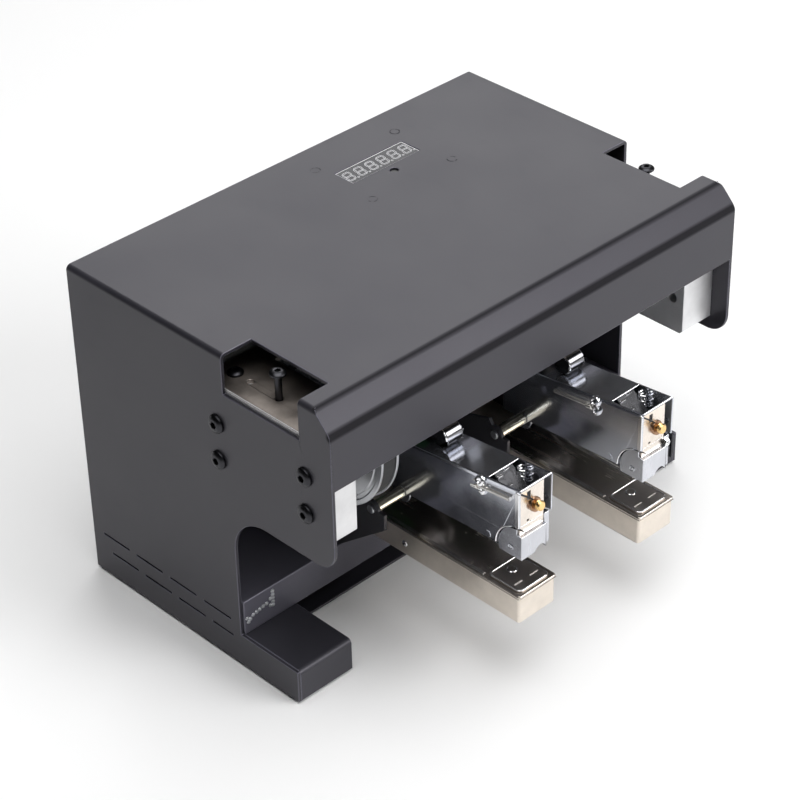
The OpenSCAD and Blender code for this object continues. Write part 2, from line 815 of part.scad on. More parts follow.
module bracket_wall() {
    polygon([[bracket_end, deck_z], [lip_y + over, deck_z], [pivot_y - ear_r, pivot_z - ear_r],
        [pivot_y - ear_r, pivot_z], [pivot_y, pivot_z + ear_r], [bracket_end, deck_z + bracket_top]]);
    translate([pivot_y, pivot_z]) circle(r = ear_r);
}

module head_bracket(x) {
    color("#3f3f42") in_frame() difference() {
        union() {
            span_x(x - wall_out, x - wall_out + wall_t) bracket_wall();
            span_x(x + wall_in, x + wall_in + wall_t) bracket_wall();
            block([x - wall_out, x + wall_in + wall_t], [bracket_end - wall_t, bracket_end],
                [deck_z, deck_z + bracket_top]);
        }
        rod_x(x - wall_out - over, x + wall_in + wall_t + over, pin_d + 2 * fit, pivot_y, pivot_z);
    }
}

module left_bracket() head_bracket(-stapler_x);

module right_bracket() head_bracket(stapler_x);

module pivot_pins() {
    color("#c9cbcd") in_frame() for (s = [-1, 1]) translate([s * stapler_x, 0, 0])
        rod_x(-wall_out - over, wall_in + wall_t + over, pin_d, pivot_y, pivot_z);
}

spacer_d = 7;

module pivot_spacers() {
    half = head_w / 2 + gap;
    color("#d3c27a") in_frame() for (s = [-1, 1]) translate([s * stapler_x, 0, 0]) difference() {
        union() {
            rod_x(wall_t - wall_out + fit, -half, spacer_d, pivot_y, pivot_z);
            rod_x(half, wall_in - fit, spacer_d, pivot_y, pivot_z);
        }
        rod_x(-wall_out, wall_in, pin_d + 2 * fit, pivot_y, pivot_z);
    }
}

// The heads are drawn in Y and Z from the pivot
cover_t = 0.9;
nose_r = 15.8;
nose_y = -85.5;
nose_z = 3.5;
nose_front = 86;
nose_low = 0.5;
cover_ear_r = 6.5;
rim_w = 1.2;
opening_rear = 62.5;
opening_half = 10.9;

module at_pivot(x) translate([x, pivot_y, pivot_z]) children();

function cover_top(y, depth) = (cover_rise - depth - sin(top_tilt) * y) / cos(top_tilt);

function magazine_low(y) = -tan(magazine_tilt) * y;

module cover_outline(depth, past) {
    front = cover_front + past;
    rear = cover_rear + past;
    polygon([[rear, magazine_low(rear) - past], [-front, magazine_low(-front) - past],
        [-front, cover_top(-front, depth)], [rear, cover_top(rear, depth)]]);
}

// Chrome cover: a channel, open below, with an opening in the top over the front plate
module cover(x) {
    half = head_w / 2;
    color("#d0d3d7") in_frame() at_pivot(x) difference() {
        union() {
            span_x(-half, half) cover_outline(0, 0);
            rod_x(-half, half, 2 * cover_ear_r, 0, 0);
        }
        rod_x(-half - over, half + over, 2 * (nose_r + cap_side), nose_y, nose_z);
        span_x(cover_t - half, half - cover_t) cover_outline(cover_t, over + cover_ear_r);
        block([-opening_half, opening_half], [rim_w - cover_front, -opening_rear], [0, 2 * cover_rise]);
        rod_x(-half - over, half + over, pin_d + 2 * fit, 0, 0);
    }
}

module left_cover() cover(-stapler_x);

module right_cover() cover(stapler_x);

magazine_side = 0.15;
magazine_front = 69.6;
magazine_rear = 12;
magazine_h = 13;
core_half = 4;
core_h = 8;
magazine_wall = 1;

module magazine_outline(low, high, front, rear) {
    polygon([[rear, magazine_low(rear) + low], [-front, magazine_low(-front) + low],
        [-front, magazine_low(-front) + high], [rear, magazine_low(rear) + high]]);
}

// Channel that holds the staples, with a core rail along the middle
module magazine(x) {
    half = head_w / 2 - cover_t - magazine_side;
    rear_in = magazine_rear - magazine_wall;
    color("#77797d") in_frame() at_pivot(x) difference() {
        union() {
            difference() {
                span_x(-half, half) {
                    magazine_outline(0, magazine_h, magazine_front, magazine_rear);
                    circle(r = cover_ear_r - over);
                }
                span_x(magazine_wall - half, half - magazine_wall)
                    magazine_outline(magazine_wall, 2 * magazine_h, magazine_front + over, rear_in);
            }
            span_x(-core_half, core_half)
                magazine_outline(magazine_wall, core_h, magazine_front, rear_in);
        }
        rod_x(-half - over, half + over, pin_d + 2 * fit, 0, 0);
    }
}

module left_magazine() magazine(-stapler_x);

module right_magazine() magazine(stapler_x);

strip_h = 8;
face_right = 7.2;
face_t = 1.6;
blade_y = -79.5;
blade_t = 0.8;
blade_half = 6.5;
slot_front = 82;
slot_rear = 77.8;
arch_r = 4;
arch_x = 3;

module nose_outline(front) {
    intersection() {
        translate([nose_y, nose_z]) circle(r = nose_r);
        translate([-front, -nose_low]) square([front - magazine_front - fit, 2 * nose_r]);
    }
}

// Nose block: the blade drives each staple out through its slot
module nose(x) {
    half = head_w / 2 - cover_t - magazine_side;
    strip_low = magazine_low(-slot_rear) + magazine_wall;
    slot_half = blade_half + cap_side;
    color("#c4c7cc") in_frame() at_pivot(x) difference() {
        union() {
            span_x(-half, face_right) nose_outline(nose_front);
            span_x(-half, half) nose_outline(nose_front - face_t);
        }
        block(around(0, slot_half), [-slot_front, -slot_rear], [-nose_r, 2 * nose_r]);
        block(around(0, slot_half), [-slot_rear - over, over - magazine_front],
            [strip_low, strip_low + strip_h]);
        rod_y(-nose_front - over, -slot_front, 2 * arch_r, arch_x, -nose_low - over);
    }
}

module left_nose() nose(-stapler_x);

module right_nose() nose(stapler_x);

plate_y = 83.9;
plate_t = 1;
plate_half = 10.3;
plate_top = 41;
pin_z = 29;
pin_tilt = 15;
pin_body_d = 3.4;
pin_head_d = 5.6;
pin_head_l = 2.5;
pin_travel = 1.2;
collar_d = 7.4;
collar_l = 1.8;

// Front plate with two slots and the collar of the release pin
module front_plate(x) {
    foot = nose_z + nose_r + fit;
    color("#cbbfae") in_frame() at_pivot(x) difference() {
        union() {
            block([-plate_half, face_right], [-plate_y, plate_t - plate_y], [foot, plate_top]);
            translate([0, -plate_y, pin_z]) rotate([90 - pin_tilt, 0, 0]) translate([0, 0, -plate_t / 2])
                cylinder(d = collar_d, h = collar_l + plate_t / 2);
        }
        block([-plate_half, plate_half], [plate_t - plate_y, -opening_rear], [foot, plate_top]);
        translate([0, -plate_y, pin_z]) rotate([90 - pin_tilt, 0, 0]) translate([0, 0, -2 * collar_l])
            cylinder(d = pin_body_d + 2 * fit, h = 4 * collar_l);
        block([-plate_half / 2, -plate_half / 4], [-plate_y - over, over - plate_y],
            [pin_z + collar_d / 2 + over, plate_top - chamfer]);
        block([-plate_half / 2, -plate_half / 3], [-plate_y - over, over - plate_y],
            [foot + over, pin_z - collar_d]);
    }
}

module left_front_plate() front_plate(-stapler_x);

module right_front_plate() front_plate(stapler_x);

module release_pin(x) {
    color("#c08a3e") in_frame() at_pivot(x) translate([0, -plate_y, pin_z]) rotate([90 - pin_tilt, 0, 0]) {
        cylinder(d = pin_body_d, h = pin_l - pin_head_l);
        translate([0, 0, pin_l - pin_head_l]) {
            cylinder(d = pin_head_d, h = pin_head_l - cap_side);
            cylinder(d = pin_head_d - 2 * cap_side, h = pin_head_l);
        }
    }
}

module left_release_pin() release_pin(-stapler_x);

module right_release_pin() release_pin(stapler_x);

tab_end = 52;
blade_top = 27;

// Height of the driver's tab, just under the cover's top
function under_cover(y) = cover_top(y, cover_t + fit);

// Driver blade, hung from a tab under the cover
module driver(x) {
    blade_low = -blade_y * sin(drive_turn) - nose_low;
    tab_z = under_cover(-opening_rear);
    color("#8d9094") in_frame() at_pivot(x) span_x(-blade_half, blade_half) polygon([
        [blade_y, blade_low], [blade_y + blade_t, blade_low], [blade_y + blade_t, blade_top - blade_t],
        [-opening_rear, tab_z - blade_t], [-tab_end, under_cover(-tab_end) - blade_t],
        [-tab_end, under_cover(-tab_end)], [-opening_rear, tab_z], [blade_y, blade_top]]);
}

module left_driver() driver(-stapler_x);

module right_driver() driver(stapler_x);

rod_d = 2.6;
rod_drop = 2.4;
rod_front = 83;
rod_rear = 30;
clip_y = 55.5;
clip_l = 3.5;
clip_w = 5;

// Rod along the cover's upper left edge, held by a clip
module side_rod(x) {
    rod_x0 = -head_w / 2 - rod_d / 2 - fit;
    color("#d9d9d6") in_frame() at_pivot(x) rotate([-top_tilt, 0, 0])
        translate([rod_x0, 0, cover_rise - rod_drop]) {
            rod_y(-rod_front, -rod_rear, rod_d, 0, 0);
            difference() {
                block([-clip_w / 2, rod_d / 2], [-clip_y - clip_l / 2, clip_l / 2 - clip_y],
                    [-clip_w / 2, rod_drop + cover_t]);
                rod_y(-clip_y - clip_l, clip_l - clip_y, rod_d, 0, 0);
            }
            block([rod_d / 2, clip_w], [-clip_y - clip_l / 2, clip_l / 2 - clip_y],
                [rod_drop + fit, rod_drop + cover_t]);
        }
}

module left_side_rod() side_rod(-stapler_x);

module right_side_rod() side_rod(stapler_x);

pusher_l = 12;
pusher_half = 7;
pusher_h = 11;
pusher_start = 69.2;

// Pusher that rides on the core rail behind the staples
module pusher(x) {
    color("#55575a") in_frame() at_pivot(x) difference() {
        span_x(-pusher_half, pusher_half)
            magazine_outline(magazine_wall + gap, pusher_h, pusher_start, pusher_l - pusher_start);
        span_x(-core_half - gap / 2, core_half + gap / 2)
            magazine_outline(0, core_h + gap, pusher_start + over, pusher_l - pusher_start + over);
    }
}

module left_pusher() pusher(-stapler_x);

module right_pusher() pusher(stapler_x);

// Board under the top, with the counter display and the reset button
board_t = 1.6;
board_drop = 10;
board_z = body_h - board_drop;
board_w = 72;
board_d = 56;
board_shift = 5;
board_y = display_mid - board_shift;
stud_dx = 60.6;
stud_dy = 45;
stud_d = 5;
button_hole_d = 5;
button_d = 4.4;
button_gap = 13.1;
button_y = display_mid - button_gap;
button_press = 1;
button_sink = 1;
button_base = 6;
base_h = 3.4;

module stud_places() {
    for (i = [-1, 1]) for (j = [-1, 1])
        translate([display_x + i * stud_dx / 2, board_y + j * stud_dy / 2, 0]) children();
}

module control_board() {
    color("#2f6b3c") in_frame() {
        difference() {
            block(around(display_x, board_w / 2), around(board_y, board_d / 2),
                [board_z - board_t, board_z]);
            stud_places() rod_z(board_z - board_t - over, board_z + over, m3, 0, 0);
        }
        block(around(display_x, button_base / 2), around(button_y, button_base / 2),
            [board_z, board_z + base_h]);
        for (s = [-1, 1])
            block(around(display_x + s * board_w / 4, board_w / 12), around(board_y, board_d / 5),
                [board_z - board_drop, board_z - board_t]);
    }
}

module board_studs() {
    color("#b5b7b9") in_frame() stud_places() {
        rod_z(board_z, top_z, stud_d, 0, 0);
        rod_z(board_z - board_t - m3, top_z, m3 - 2 * fit, 0, 0);
    }
}

display_sink = 0.6;

module display() {
    half_w = display_w / 2 - fit;
    half_d = display_d / 2 - fit;
    color("#3a3a3e") in_frame()
        block(around(display_x, half_w), around(display_mid, half_d), [board_z, body_h - display_sink]);
}

module reset_button() {
    low = board_z + base_h + button_press + gap;
    color("#151516") in_frame() rod_z(low, body_h - button_sink, button_d, display_x, button_y);
}

// Inlet, switch and pedal socket in the back panel
inlet_depth = 24;
blade_l = 14;
recess_wall = 2.2;
cover_gap = 0.1;

module power_inlet() {
    half_w = inlet_w / 2;
    half_h = inlet_h / 2;
    color("#1a1a1b") in_frame() translate([inlet_x, 0, inlet_z]) difference() {
        union() {
            block(around(0, half_w - cover_gap), [back_y - inlet_depth, body_d],
                around(0, half_h - cover_gap));
            block(around(0, half_w + flange_w), [body_d, body_d + flange_t], around(0, half_h + flange_w));
        }
        difference() {
            block(around(0, half_w - recess_wall), [body_d - blade_l - flange_t, body_d + 2 * flange_t],
                around(0, half_h - recess_wall));
            for (i = [-1:1])
                block(around(i * half_w / 2, flange_t / 2), [back_y - inlet_depth, body_d - flange_t],
                    around(i * i * half_h / 4, flange_t));
        }
    }
}

rocker_turn = 10;
rocker_half = 6.5;
rocker_in = 5;
rocker_out = 2;

// The release pins reach furthest to the front, and the switch's rocker to the back
pin_l = collar_l + pin_travel + gap + pin_head_l;
front_reach = plate_y - pivot_y + cos(pin_tilt) * pin_l + sin(pin_tilt) * (pin_head_d / 2 - cap_side);
rocker_reach = cos(rocker_turn) * (rocker_in + rocker_out) + sin(rocker_turn) * rocker_half - rocker_in;
apron_y = front_reach - (front_reach + body_d + rocker_reach) / 2;
echo(apron_y = apron_y);

// Body of the rocker switch, a shell round the rocker
module power_switch() {
    half_w = switch_w / 2;
    half_h = switch_h / 2;
    color("#1a1a1b") in_frame() translate([switch_x, 0, inlet_z]) difference() {
        union() {
            block(around(0, half_w - cover_gap), [back_y - inlet_depth, body_d],
                around(0, half_h - cover_gap));
            block(around(0, half_w + rocker_wall), [body_d, body_d + flange_t],
                around(0, half_h + rocker_wall));
        }
        block(around(0, half_w - rocker_wall), [body_d - 2 * rocker_in, body_d + 2 * flange_t],
            around(0, half_h - rocker_wall));
        rod_x(-half_w, half_w, m3 - over, body_d - rocker_in, 0);
    }
}

// Rocker, tipped to off at rest, on its own axle
module switch_rocker() {
    half = switch_w / 2 - rocker_wall - gap;
    axle_half = switch_w / 2 - over;
    color("#202022") in_frame() translate([switch_x, body_d - rocker_in, inlet_z])
        rotate([rocker_turn, 0, 0]) {
            span_x(-half, half) polygon([[-over, -rocker_half], [rocker_in + rocker_out, -rocker_half],
                [rocker_in + over, 0], [rocker_in + rocker_out, rocker_half], [-over, rocker_half]]);
            rod_x(-axle_half, axle_half, m3 - over - 2 * fit, 0, 0);
        }
}

module pedal_socket() {
    color("#1d1d1e") in_frame() difference() {
        union() {
            rod_y(back_y - jack_l, body_d, socket_d - 2 * fit, socket_x, inlet_z);
            rod_y(body_d, body_d + flange_t, socket_d + flange_w, socket_x, inlet_z);
            rod_y(back_y - flange_w, back_y - fit, socket_d + flange_w, socket_x, inlet_z);
        }
        rod_y(body_d + flange_t - jack_l, body_d + 2 * flange_t, jack_d, socket_x, inlet_z);
    }
}

module rear_screws() {
    color("#1d1d1f") in_frame() tab_places() translate([0, body_d, 0]) rotate([-90, 0, 0])
        button_screw(m3, tab_w - over);
}

housing();
back_panel();
deck();
bottom_cover();
left_foot();
right_foot();
foot_pads();
left_block();
right_block();
side_screws();
tie_plate();
tie_screws();
adjusting_screws();
shaft_bearings();
guide_posts();
return_springs();
gearmotor();
motor_bracket();
drive_belt();
control_board();
display();
board_studs();
power_inlet();
power_switch();
pedal_socket();
rear_screws();
left_arm();
right_arm();
left_arm_cap();
right_arm_cap();
anvils();
left_bracket();
right_bracket();
pivot_pins();
pivot_spacers();
main_shaft();
drive_wheel();
lift_cams();
motor_wheel();
press_beam();
plungers();
cam_rollers();
left_magazine();
left_nose();
left_front_plate();
left_cover();
left_driver();
left_side_rod();
left_pusher();
left_release_pin();
right_magazine();
right_nose();
right_front_plate();
right_cover();
right_driver();
right_side_rod();
right_pusher();
right_release_pin();
switch_rocker();
reset_button();
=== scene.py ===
import json
import math

import bmesh
import bpy
from mathutils import Matrix, Vector


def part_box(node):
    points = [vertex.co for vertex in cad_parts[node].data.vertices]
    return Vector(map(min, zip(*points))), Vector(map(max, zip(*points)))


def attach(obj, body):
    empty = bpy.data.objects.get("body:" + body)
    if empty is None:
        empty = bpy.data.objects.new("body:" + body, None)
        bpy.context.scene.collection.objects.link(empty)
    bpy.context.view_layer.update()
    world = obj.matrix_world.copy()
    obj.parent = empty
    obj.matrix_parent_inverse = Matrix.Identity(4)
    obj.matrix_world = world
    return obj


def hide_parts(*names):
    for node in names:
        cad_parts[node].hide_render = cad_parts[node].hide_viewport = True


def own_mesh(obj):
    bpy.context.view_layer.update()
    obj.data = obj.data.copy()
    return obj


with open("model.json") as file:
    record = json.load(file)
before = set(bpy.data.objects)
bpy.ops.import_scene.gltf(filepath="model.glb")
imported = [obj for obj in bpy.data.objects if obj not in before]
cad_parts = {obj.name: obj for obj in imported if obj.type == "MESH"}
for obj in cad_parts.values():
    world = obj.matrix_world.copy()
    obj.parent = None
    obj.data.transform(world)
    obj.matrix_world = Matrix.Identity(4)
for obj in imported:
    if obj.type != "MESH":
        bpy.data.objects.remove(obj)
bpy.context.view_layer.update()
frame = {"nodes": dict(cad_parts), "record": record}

# Electric stapler with two heads. Lengths are in metres, and MM turns millimetres into them.
MM = 0.001
NODES = frame["nodes"]
BODY_OF = {node: body for body, nodes in frame["record"]["behaviour"]["bodies"].items() for node in nodes}
SLOT_OF = {part["node"]: part["material_slot"] for part in frame["record"]["subparts"]}
COLLECTION = bpy.context.scene.collection
UP = Vector((0, 0, 1))
SIDES = {"left": -1, "right": 1}

# The apron's front face, from which at() measures Y, and the housing's half width and top in millimetres
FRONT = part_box("housing")[0].y
HALF_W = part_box("housing")[1].x / MM
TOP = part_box("housing")[1].z / MM
# Two measures that differ by less than this are the same
SLACK = 0.05 * MM

# Camera at the photograph's viewing angle
CAMERA_AT = Vector((-0.8079, -0.8161, 0.8898))
CAMERA_AZIMUTH, CAMERA_ELEVATION, CAMERA_ROLL = (math.radians(angle) for angle in (-43.728, 34.637, -1.282))
CAMERA_LENS = 115.37


def at(x, y, z):
    """A place in millimetres, with Y measured from the apron's front face."""
    return Vector((x * MM, FRONT + y * MM, z * MM))


def place_camera():
    """The photograph's camera, as its fit to the housing's straight edges gave it."""
    level = math.cos(CAMERA_ELEVATION)
    across, behind = math.sin(CAMERA_AZIMUTH) * level, -math.cos(CAMERA_AZIMUTH) * level
    back = Vector((across, behind, math.sin(CAMERA_ELEVATION)))
    right = UP.cross(back).normalized()
    up = back.cross(right)
    right, up = (
        math.cos(CAMERA_ROLL) * right + math.sin(CAMERA_ROLL) * up,
        math.cos(CAMERA_ROLL) * up - math.sin(CAMERA_ROLL) * right,
    )
    data = bpy.data.cameras.new("photo_camera")
    data.lens = CAMERA_LENS
    camera = bpy.data.objects.new("photo_camera", data)
    camera.rotation_mode = "QUATERNION"
    camera.rotation_quaternion = Matrix((right, up, back)).transposed().to_quaternion()
    camera.location = CAMERA_AT
    COLLECTION.objects.link(camera)
    bpy.context.scene.camera = camera


place_camera()


# Materials
class Value:
    """A shader socket with Python's operators on it."""

    def __init__(self, look, socket):
        self.look = look
        self.socket = socket

    def reckon(self, operation, first, second):
        values = {"Value": first, "Value_001": second}
        return self.look.node("ShaderNodeMath", {"operation": operation}, values)

    def __add__(self, other):
        return self.reckon("ADD", self, other)

    def __sub__(self, other):
        return self.reckon("SUBTRACT", self, other)

    def __mul__(self, other):
        return self.reckon("MULTIPLY", self, other)

    def __pow__(self, other):
        return self.reckon("POWER", self, other)

    def __abs__(self):
        return self.reckon("ABSOLUTE", self, 0.0)


class Look:
    """A material, with one method that makes any of its nodes."""

    def __init__(self, name, **settings):
        self.material = bpy.data.materials.new(name)
        self.material.use_nodes = True
        self.tree = self.material.node_tree
        self.skin = self.tree.nodes["Principled BSDF"]
        self.finish(settings)
        self.place = self.node("ShaderNodeTexCoord", {}, {}, "Object")

    def socket(self, sockets, name):
        return next(socket for socket in sockets if name in (socket.identifier, socket.name))

    def put(self, node, name, value):
        target = self.socket(node.inputs, name)
        if isinstance(value, Value):
            self.tree.links.new(value.socket, target)
        else:
            target.default_value = value

    def node(self, kind, settings, values, output=0):
        made = self.tree.nodes.new(kind)
        for name, value in settings.items():
            setattr(made, name, value)
        for name, value in values.items():
            self.put(made, name, value)
        found = made.outputs[output] if isinstance(output, int) else self.socket(made.outputs, output)
        return Value(self, found)

    def finish(self, values):
        for name, value in values.items():
            self.put(self.skin, name.replace("_", " "), value)

    def axis(self, letter):
        """The place along one axis, in metres."""
        return self.node("ShaderNodeSeparateXYZ", {}, {"Vector": self.place}, letter)

    def noise(self, size, detail=2.0, rough=0.5, stretch=(1, 1, 1), warp=0.0):
        """Noise whose blobs are about size across, longer along an axis whose stretch is over 1."""
        scale = tuple(1 / s for s in stretch)
        place = self.node("ShaderNodeMapping", {}, {"Vector": self.place, "Scale": scale})
        values = {"Vector": place, "Scale": 1 / size, "Detail": detail, "Roughness": rough,
                  "Distortion": warp}
        return self.node("ShaderNodeTexNoise", {}, values)

    def rings(self, axis_y, axis_z, size):
        """Noise in rings round an axis that runs along X."""
        radius = ((self.axis("Y") - axis_y) ** 2 + (self.axis("Z") - axis_z) ** 2) ** 0.5
        values = {"W": radius, "Scale": 1 / size, "Detail": 3.0}
        return self.node("ShaderNodeTexNoise", {"noise_dimensions": "1D"}, values)

    def step(self, value, low, high, to_low=0.0, to_high=1.0):
        """Value moved from one range to another, and held at its ends."""
        values = {"Value": value, "From Min": low, "From Max": high, "To Min": to_low, "To Max": to_high}
        return self.node("ShaderNodeMapRange", {"clamp": True}, values)

    def band(self, value, middle, half, soft):
        """1 where a value is within half of a middle, fading out over a soft edge."""
        return self.step(abs(value - middle), half, half + soft, 1.0, 0.0)

    def mix(self, factor, first, second):
        values = {"Factor_Float": factor, "A_Color": first, "B_Color": second}
        return self.node("ShaderNodeMix", {"data_type": "RGBA"}, values, "Result_Color")

    def bump(self, height, depth, under=None):
        values = {"Height": height, "Distance": depth, "Strength": 1.0}
        if under:
            values["Normal"] = under
        return self.node("ShaderNodeBump", {}, values)


def shade(colour, factor):
    """A colour made lighter or darker by a factor, with its alpha."""
    return tuple(min(1, c * factor) for c in colour[:3]) + (1,)


def slant_corners(points):
    """Where the slanted edge meets the top and the apron, in Y and Z."""
    on_top = min(p.y for p in points if abs(p.z - TOP * MM) < SLACK)
    on_apron = max(p.z for p in points if abs(p.y - FRONT) < SLACK)
    return Vector((on_top, TOP * MM)), Vector((FRONT, on_apron))


BENDS = slant_corners([vertex.co for vertex in NODES["housing"].data.vertices])
# Half width of the band of painted shade along each of the two bends, and of its fading edge
BEND_DARK = (0.4 * MM, 1.5 * MM)
BEND_FADE = 1.9 * MM


def bend_shadow(look):
    """1 along the two bends of the slanted edge, where the paint is darkened as painted shade and made
    rougher.
    """
    shadow = 0.0
    for corner, dark in zip(BENDS, BEND_DARK):
        away = ((look.axis("Y") - corner.x) ** 2 + (look.axis("Z") - corner.y) ** 2) ** 0.5
        shadow = look.step(away, dark, dark + BEND_FADE, 1.0, 0.0) + shadow
    return shadow


PEEL_SIZE = 0.35 * MM
PEEL_DEPTH = 0.01 * MM
PAINT_CLOUD = 60 * MM
PAINT_SPREAD = 0.12
RUB_SIZE = 9 * MM
MARK_DEPTH = 0.06 * MM
# The paint's shine is a little violet.
PAINT_SHEEN = (0.94, 0.91, 1.0, 1)


def painted(name, colour, rough, marks=None, shadow=None):
    """Powder coat: orange peel, faint dust and rub marks, marks pressed through the sheet, and painted shade
    along the bends.
    """
    look = Look(name, Specular_IOR_Level=0.5, Specular_Tint=PAINT_SHEEN)
    peel = look.noise(PEEL_SIZE, 3, 0.6)
    cloud = look.noise(PAINT_CLOUD, 4, 0.6)
    rub = look.step(look.noise(RUB_SIZE, 5, 0.7, (1, 3, 1)), 0.56, 0.8)
    darker, lighter = shade(colour, 1 - PAINT_SPREAD), shade(colour, 1 + PAINT_SPREAD)
    base = look.mix(look.step(cloud, 0.3, 0.7), darker, lighter)
    base = look.mix(rub * 0.22, base, shade(colour, 1.6))
    normal = look.bump(peel, PEEL_DEPTH)
    rough = look.step(cloud, 0.3, 0.7, rough - 0.03, rough + 0.04) + rub * 0.06
    if shadow:
        bend_shade = shadow(look)
        # Painted shade: the bends' band darkens the base colour, and below it also makes the paint rougher.
        base = look.mix(bend_shade * 0.9, base, shade(colour, 0.15))
        rough = rough + bend_shade * 0.6
    if marks:
        mark = marks(look)
        base = look.mix(mark * 0.8, base, shade(colour, 0.2))
        rough = rough + mark * 0.35
        normal = look.bump(mark, -MARK_DEPTH, normal)
    look.finish({
        "Base Color": base,
        "Roughness": rough,
        "Normal": normal,
    })
    return look.material


METAL_CLOUD = 14 * MM
SCRATCH_SIZE = 1.2 * MM


def metal(name, colour, rough, grain=(1, 1, 1), grain_size=0.4 * MM, depth=0.004 * MM, smudge=0.06,
          tint=0.08, metallic=1.0):
    """Bare or plated metal: a grain along one axis, soft smudges and a few fine scratches."""
    look = Look(name, Metallic=metallic)
    lines = look.noise(grain_size, 2, 0.6, grain)
    cloud = look.noise(METAL_CLOUD, 4, 0.6)
    scratch = look.step(look.noise(SCRATCH_SIZE, 2, 0.5, tuple(4 * g for g in grain), 0.6), 0.62, 0.7)
    base = look.mix(look.step(cloud, 0.3, 0.7), shade(colour, 1 - tint), shade(colour, 1 + tint))
    smudged = look.step(cloud, 0.35, 0.75, rough, rough + smudge)
    look.finish({
        "Base Color": look.mix(scratch * 0.2, base, shade(colour, 1.15)),
        "Roughness": smudged + lines * (rough * 0.25) + scratch * 0.05,
        "Normal": look.bump(lines + scratch * 0.5, depth),
    })
    return look.material


RING_SIZE = 0.35 * MM
RING_DEPTH = 0.006 * MM


def turned_metal(name, colour, rough, node):
    """Metal off the lathe: fine rings round the middle of a node that turns about X."""
    look = Look(name, Metallic=1.0)
    low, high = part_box(node)
    rings = look.rings((low.y + high.y) / 2, (low.z + high.z) / 2, RING_SIZE)
    cloud = look.noise(12 * MM, 3, 0.6)
    look.finish({
        "Base Color": look.mix(rings, shade(colour, 0.82), shade(colour, 1.16)),
        "Roughness": look.step(cloud, 0.3, 0.7, rough - 0.04, rough + 0.06),
        "Normal": look.bump(rings, RING_DEPTH),
    })
    return look.material


MOULD_GRAIN = 0.25 * MM
MOULD_CLOUD = 20 * MM


def plastic(name, colour, rough, depth=0.01 * MM):
    """Moulded plastic or rubber with a fine spark-eroded grain."""
    look = Look(name)
    grain = look.noise(MOULD_GRAIN, 3, 0.7)
    cloud = look.noise(MOULD_CLOUD, 3, 0.6)
    look.finish({
        "Base Color": look.mix(look.step(cloud, 0.3, 0.7), shade(colour, 0.85), shade(colour, 1.2)),
        "Roughness": look.step(cloud, 0.3, 0.7, rough - 0.05, rough + 0.05),
        "Normal": look.bump(grain, depth),
    })
    return look.material


# The box round the four studs, a stud's own radius, and the radius, width and softness of its weld's ring
STUD_LOW, STUD_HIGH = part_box("board_studs")
STUD_R = 2.5 * MM
WELD_RING_R = 2.7 * MM
WELD_RING_HALF = 0.15 * MM
WELD_RING_SOFT = 0.35 * MM


def stud_marks(look):
    """The rings that the studs' welds leave in the top."""
    half = (STUD_HIGH - STUD_LOW) / 2 - Vector((STUD_R, STUD_R, 0))
    middle = (STUD_HIGH + STUD_LOW) / 2
    aside = abs(abs(look.axis("X") - middle.x) - half.x)
    along = abs(abs(look.axis("Y") - middle.y) - half.y)
    ring = look.band((aside ** 2 + along ** 2) ** 0.5, WELD_RING_R, WELD_RING_HALF, WELD_RING_SOFT)
    broken = look.step(look.noise(3 * MM, 2), 0.42, 0.55)
    return ring * broken * look.step(look.axis("Z"), (TOP - 3) * MM, (TOP - 1) * MM)


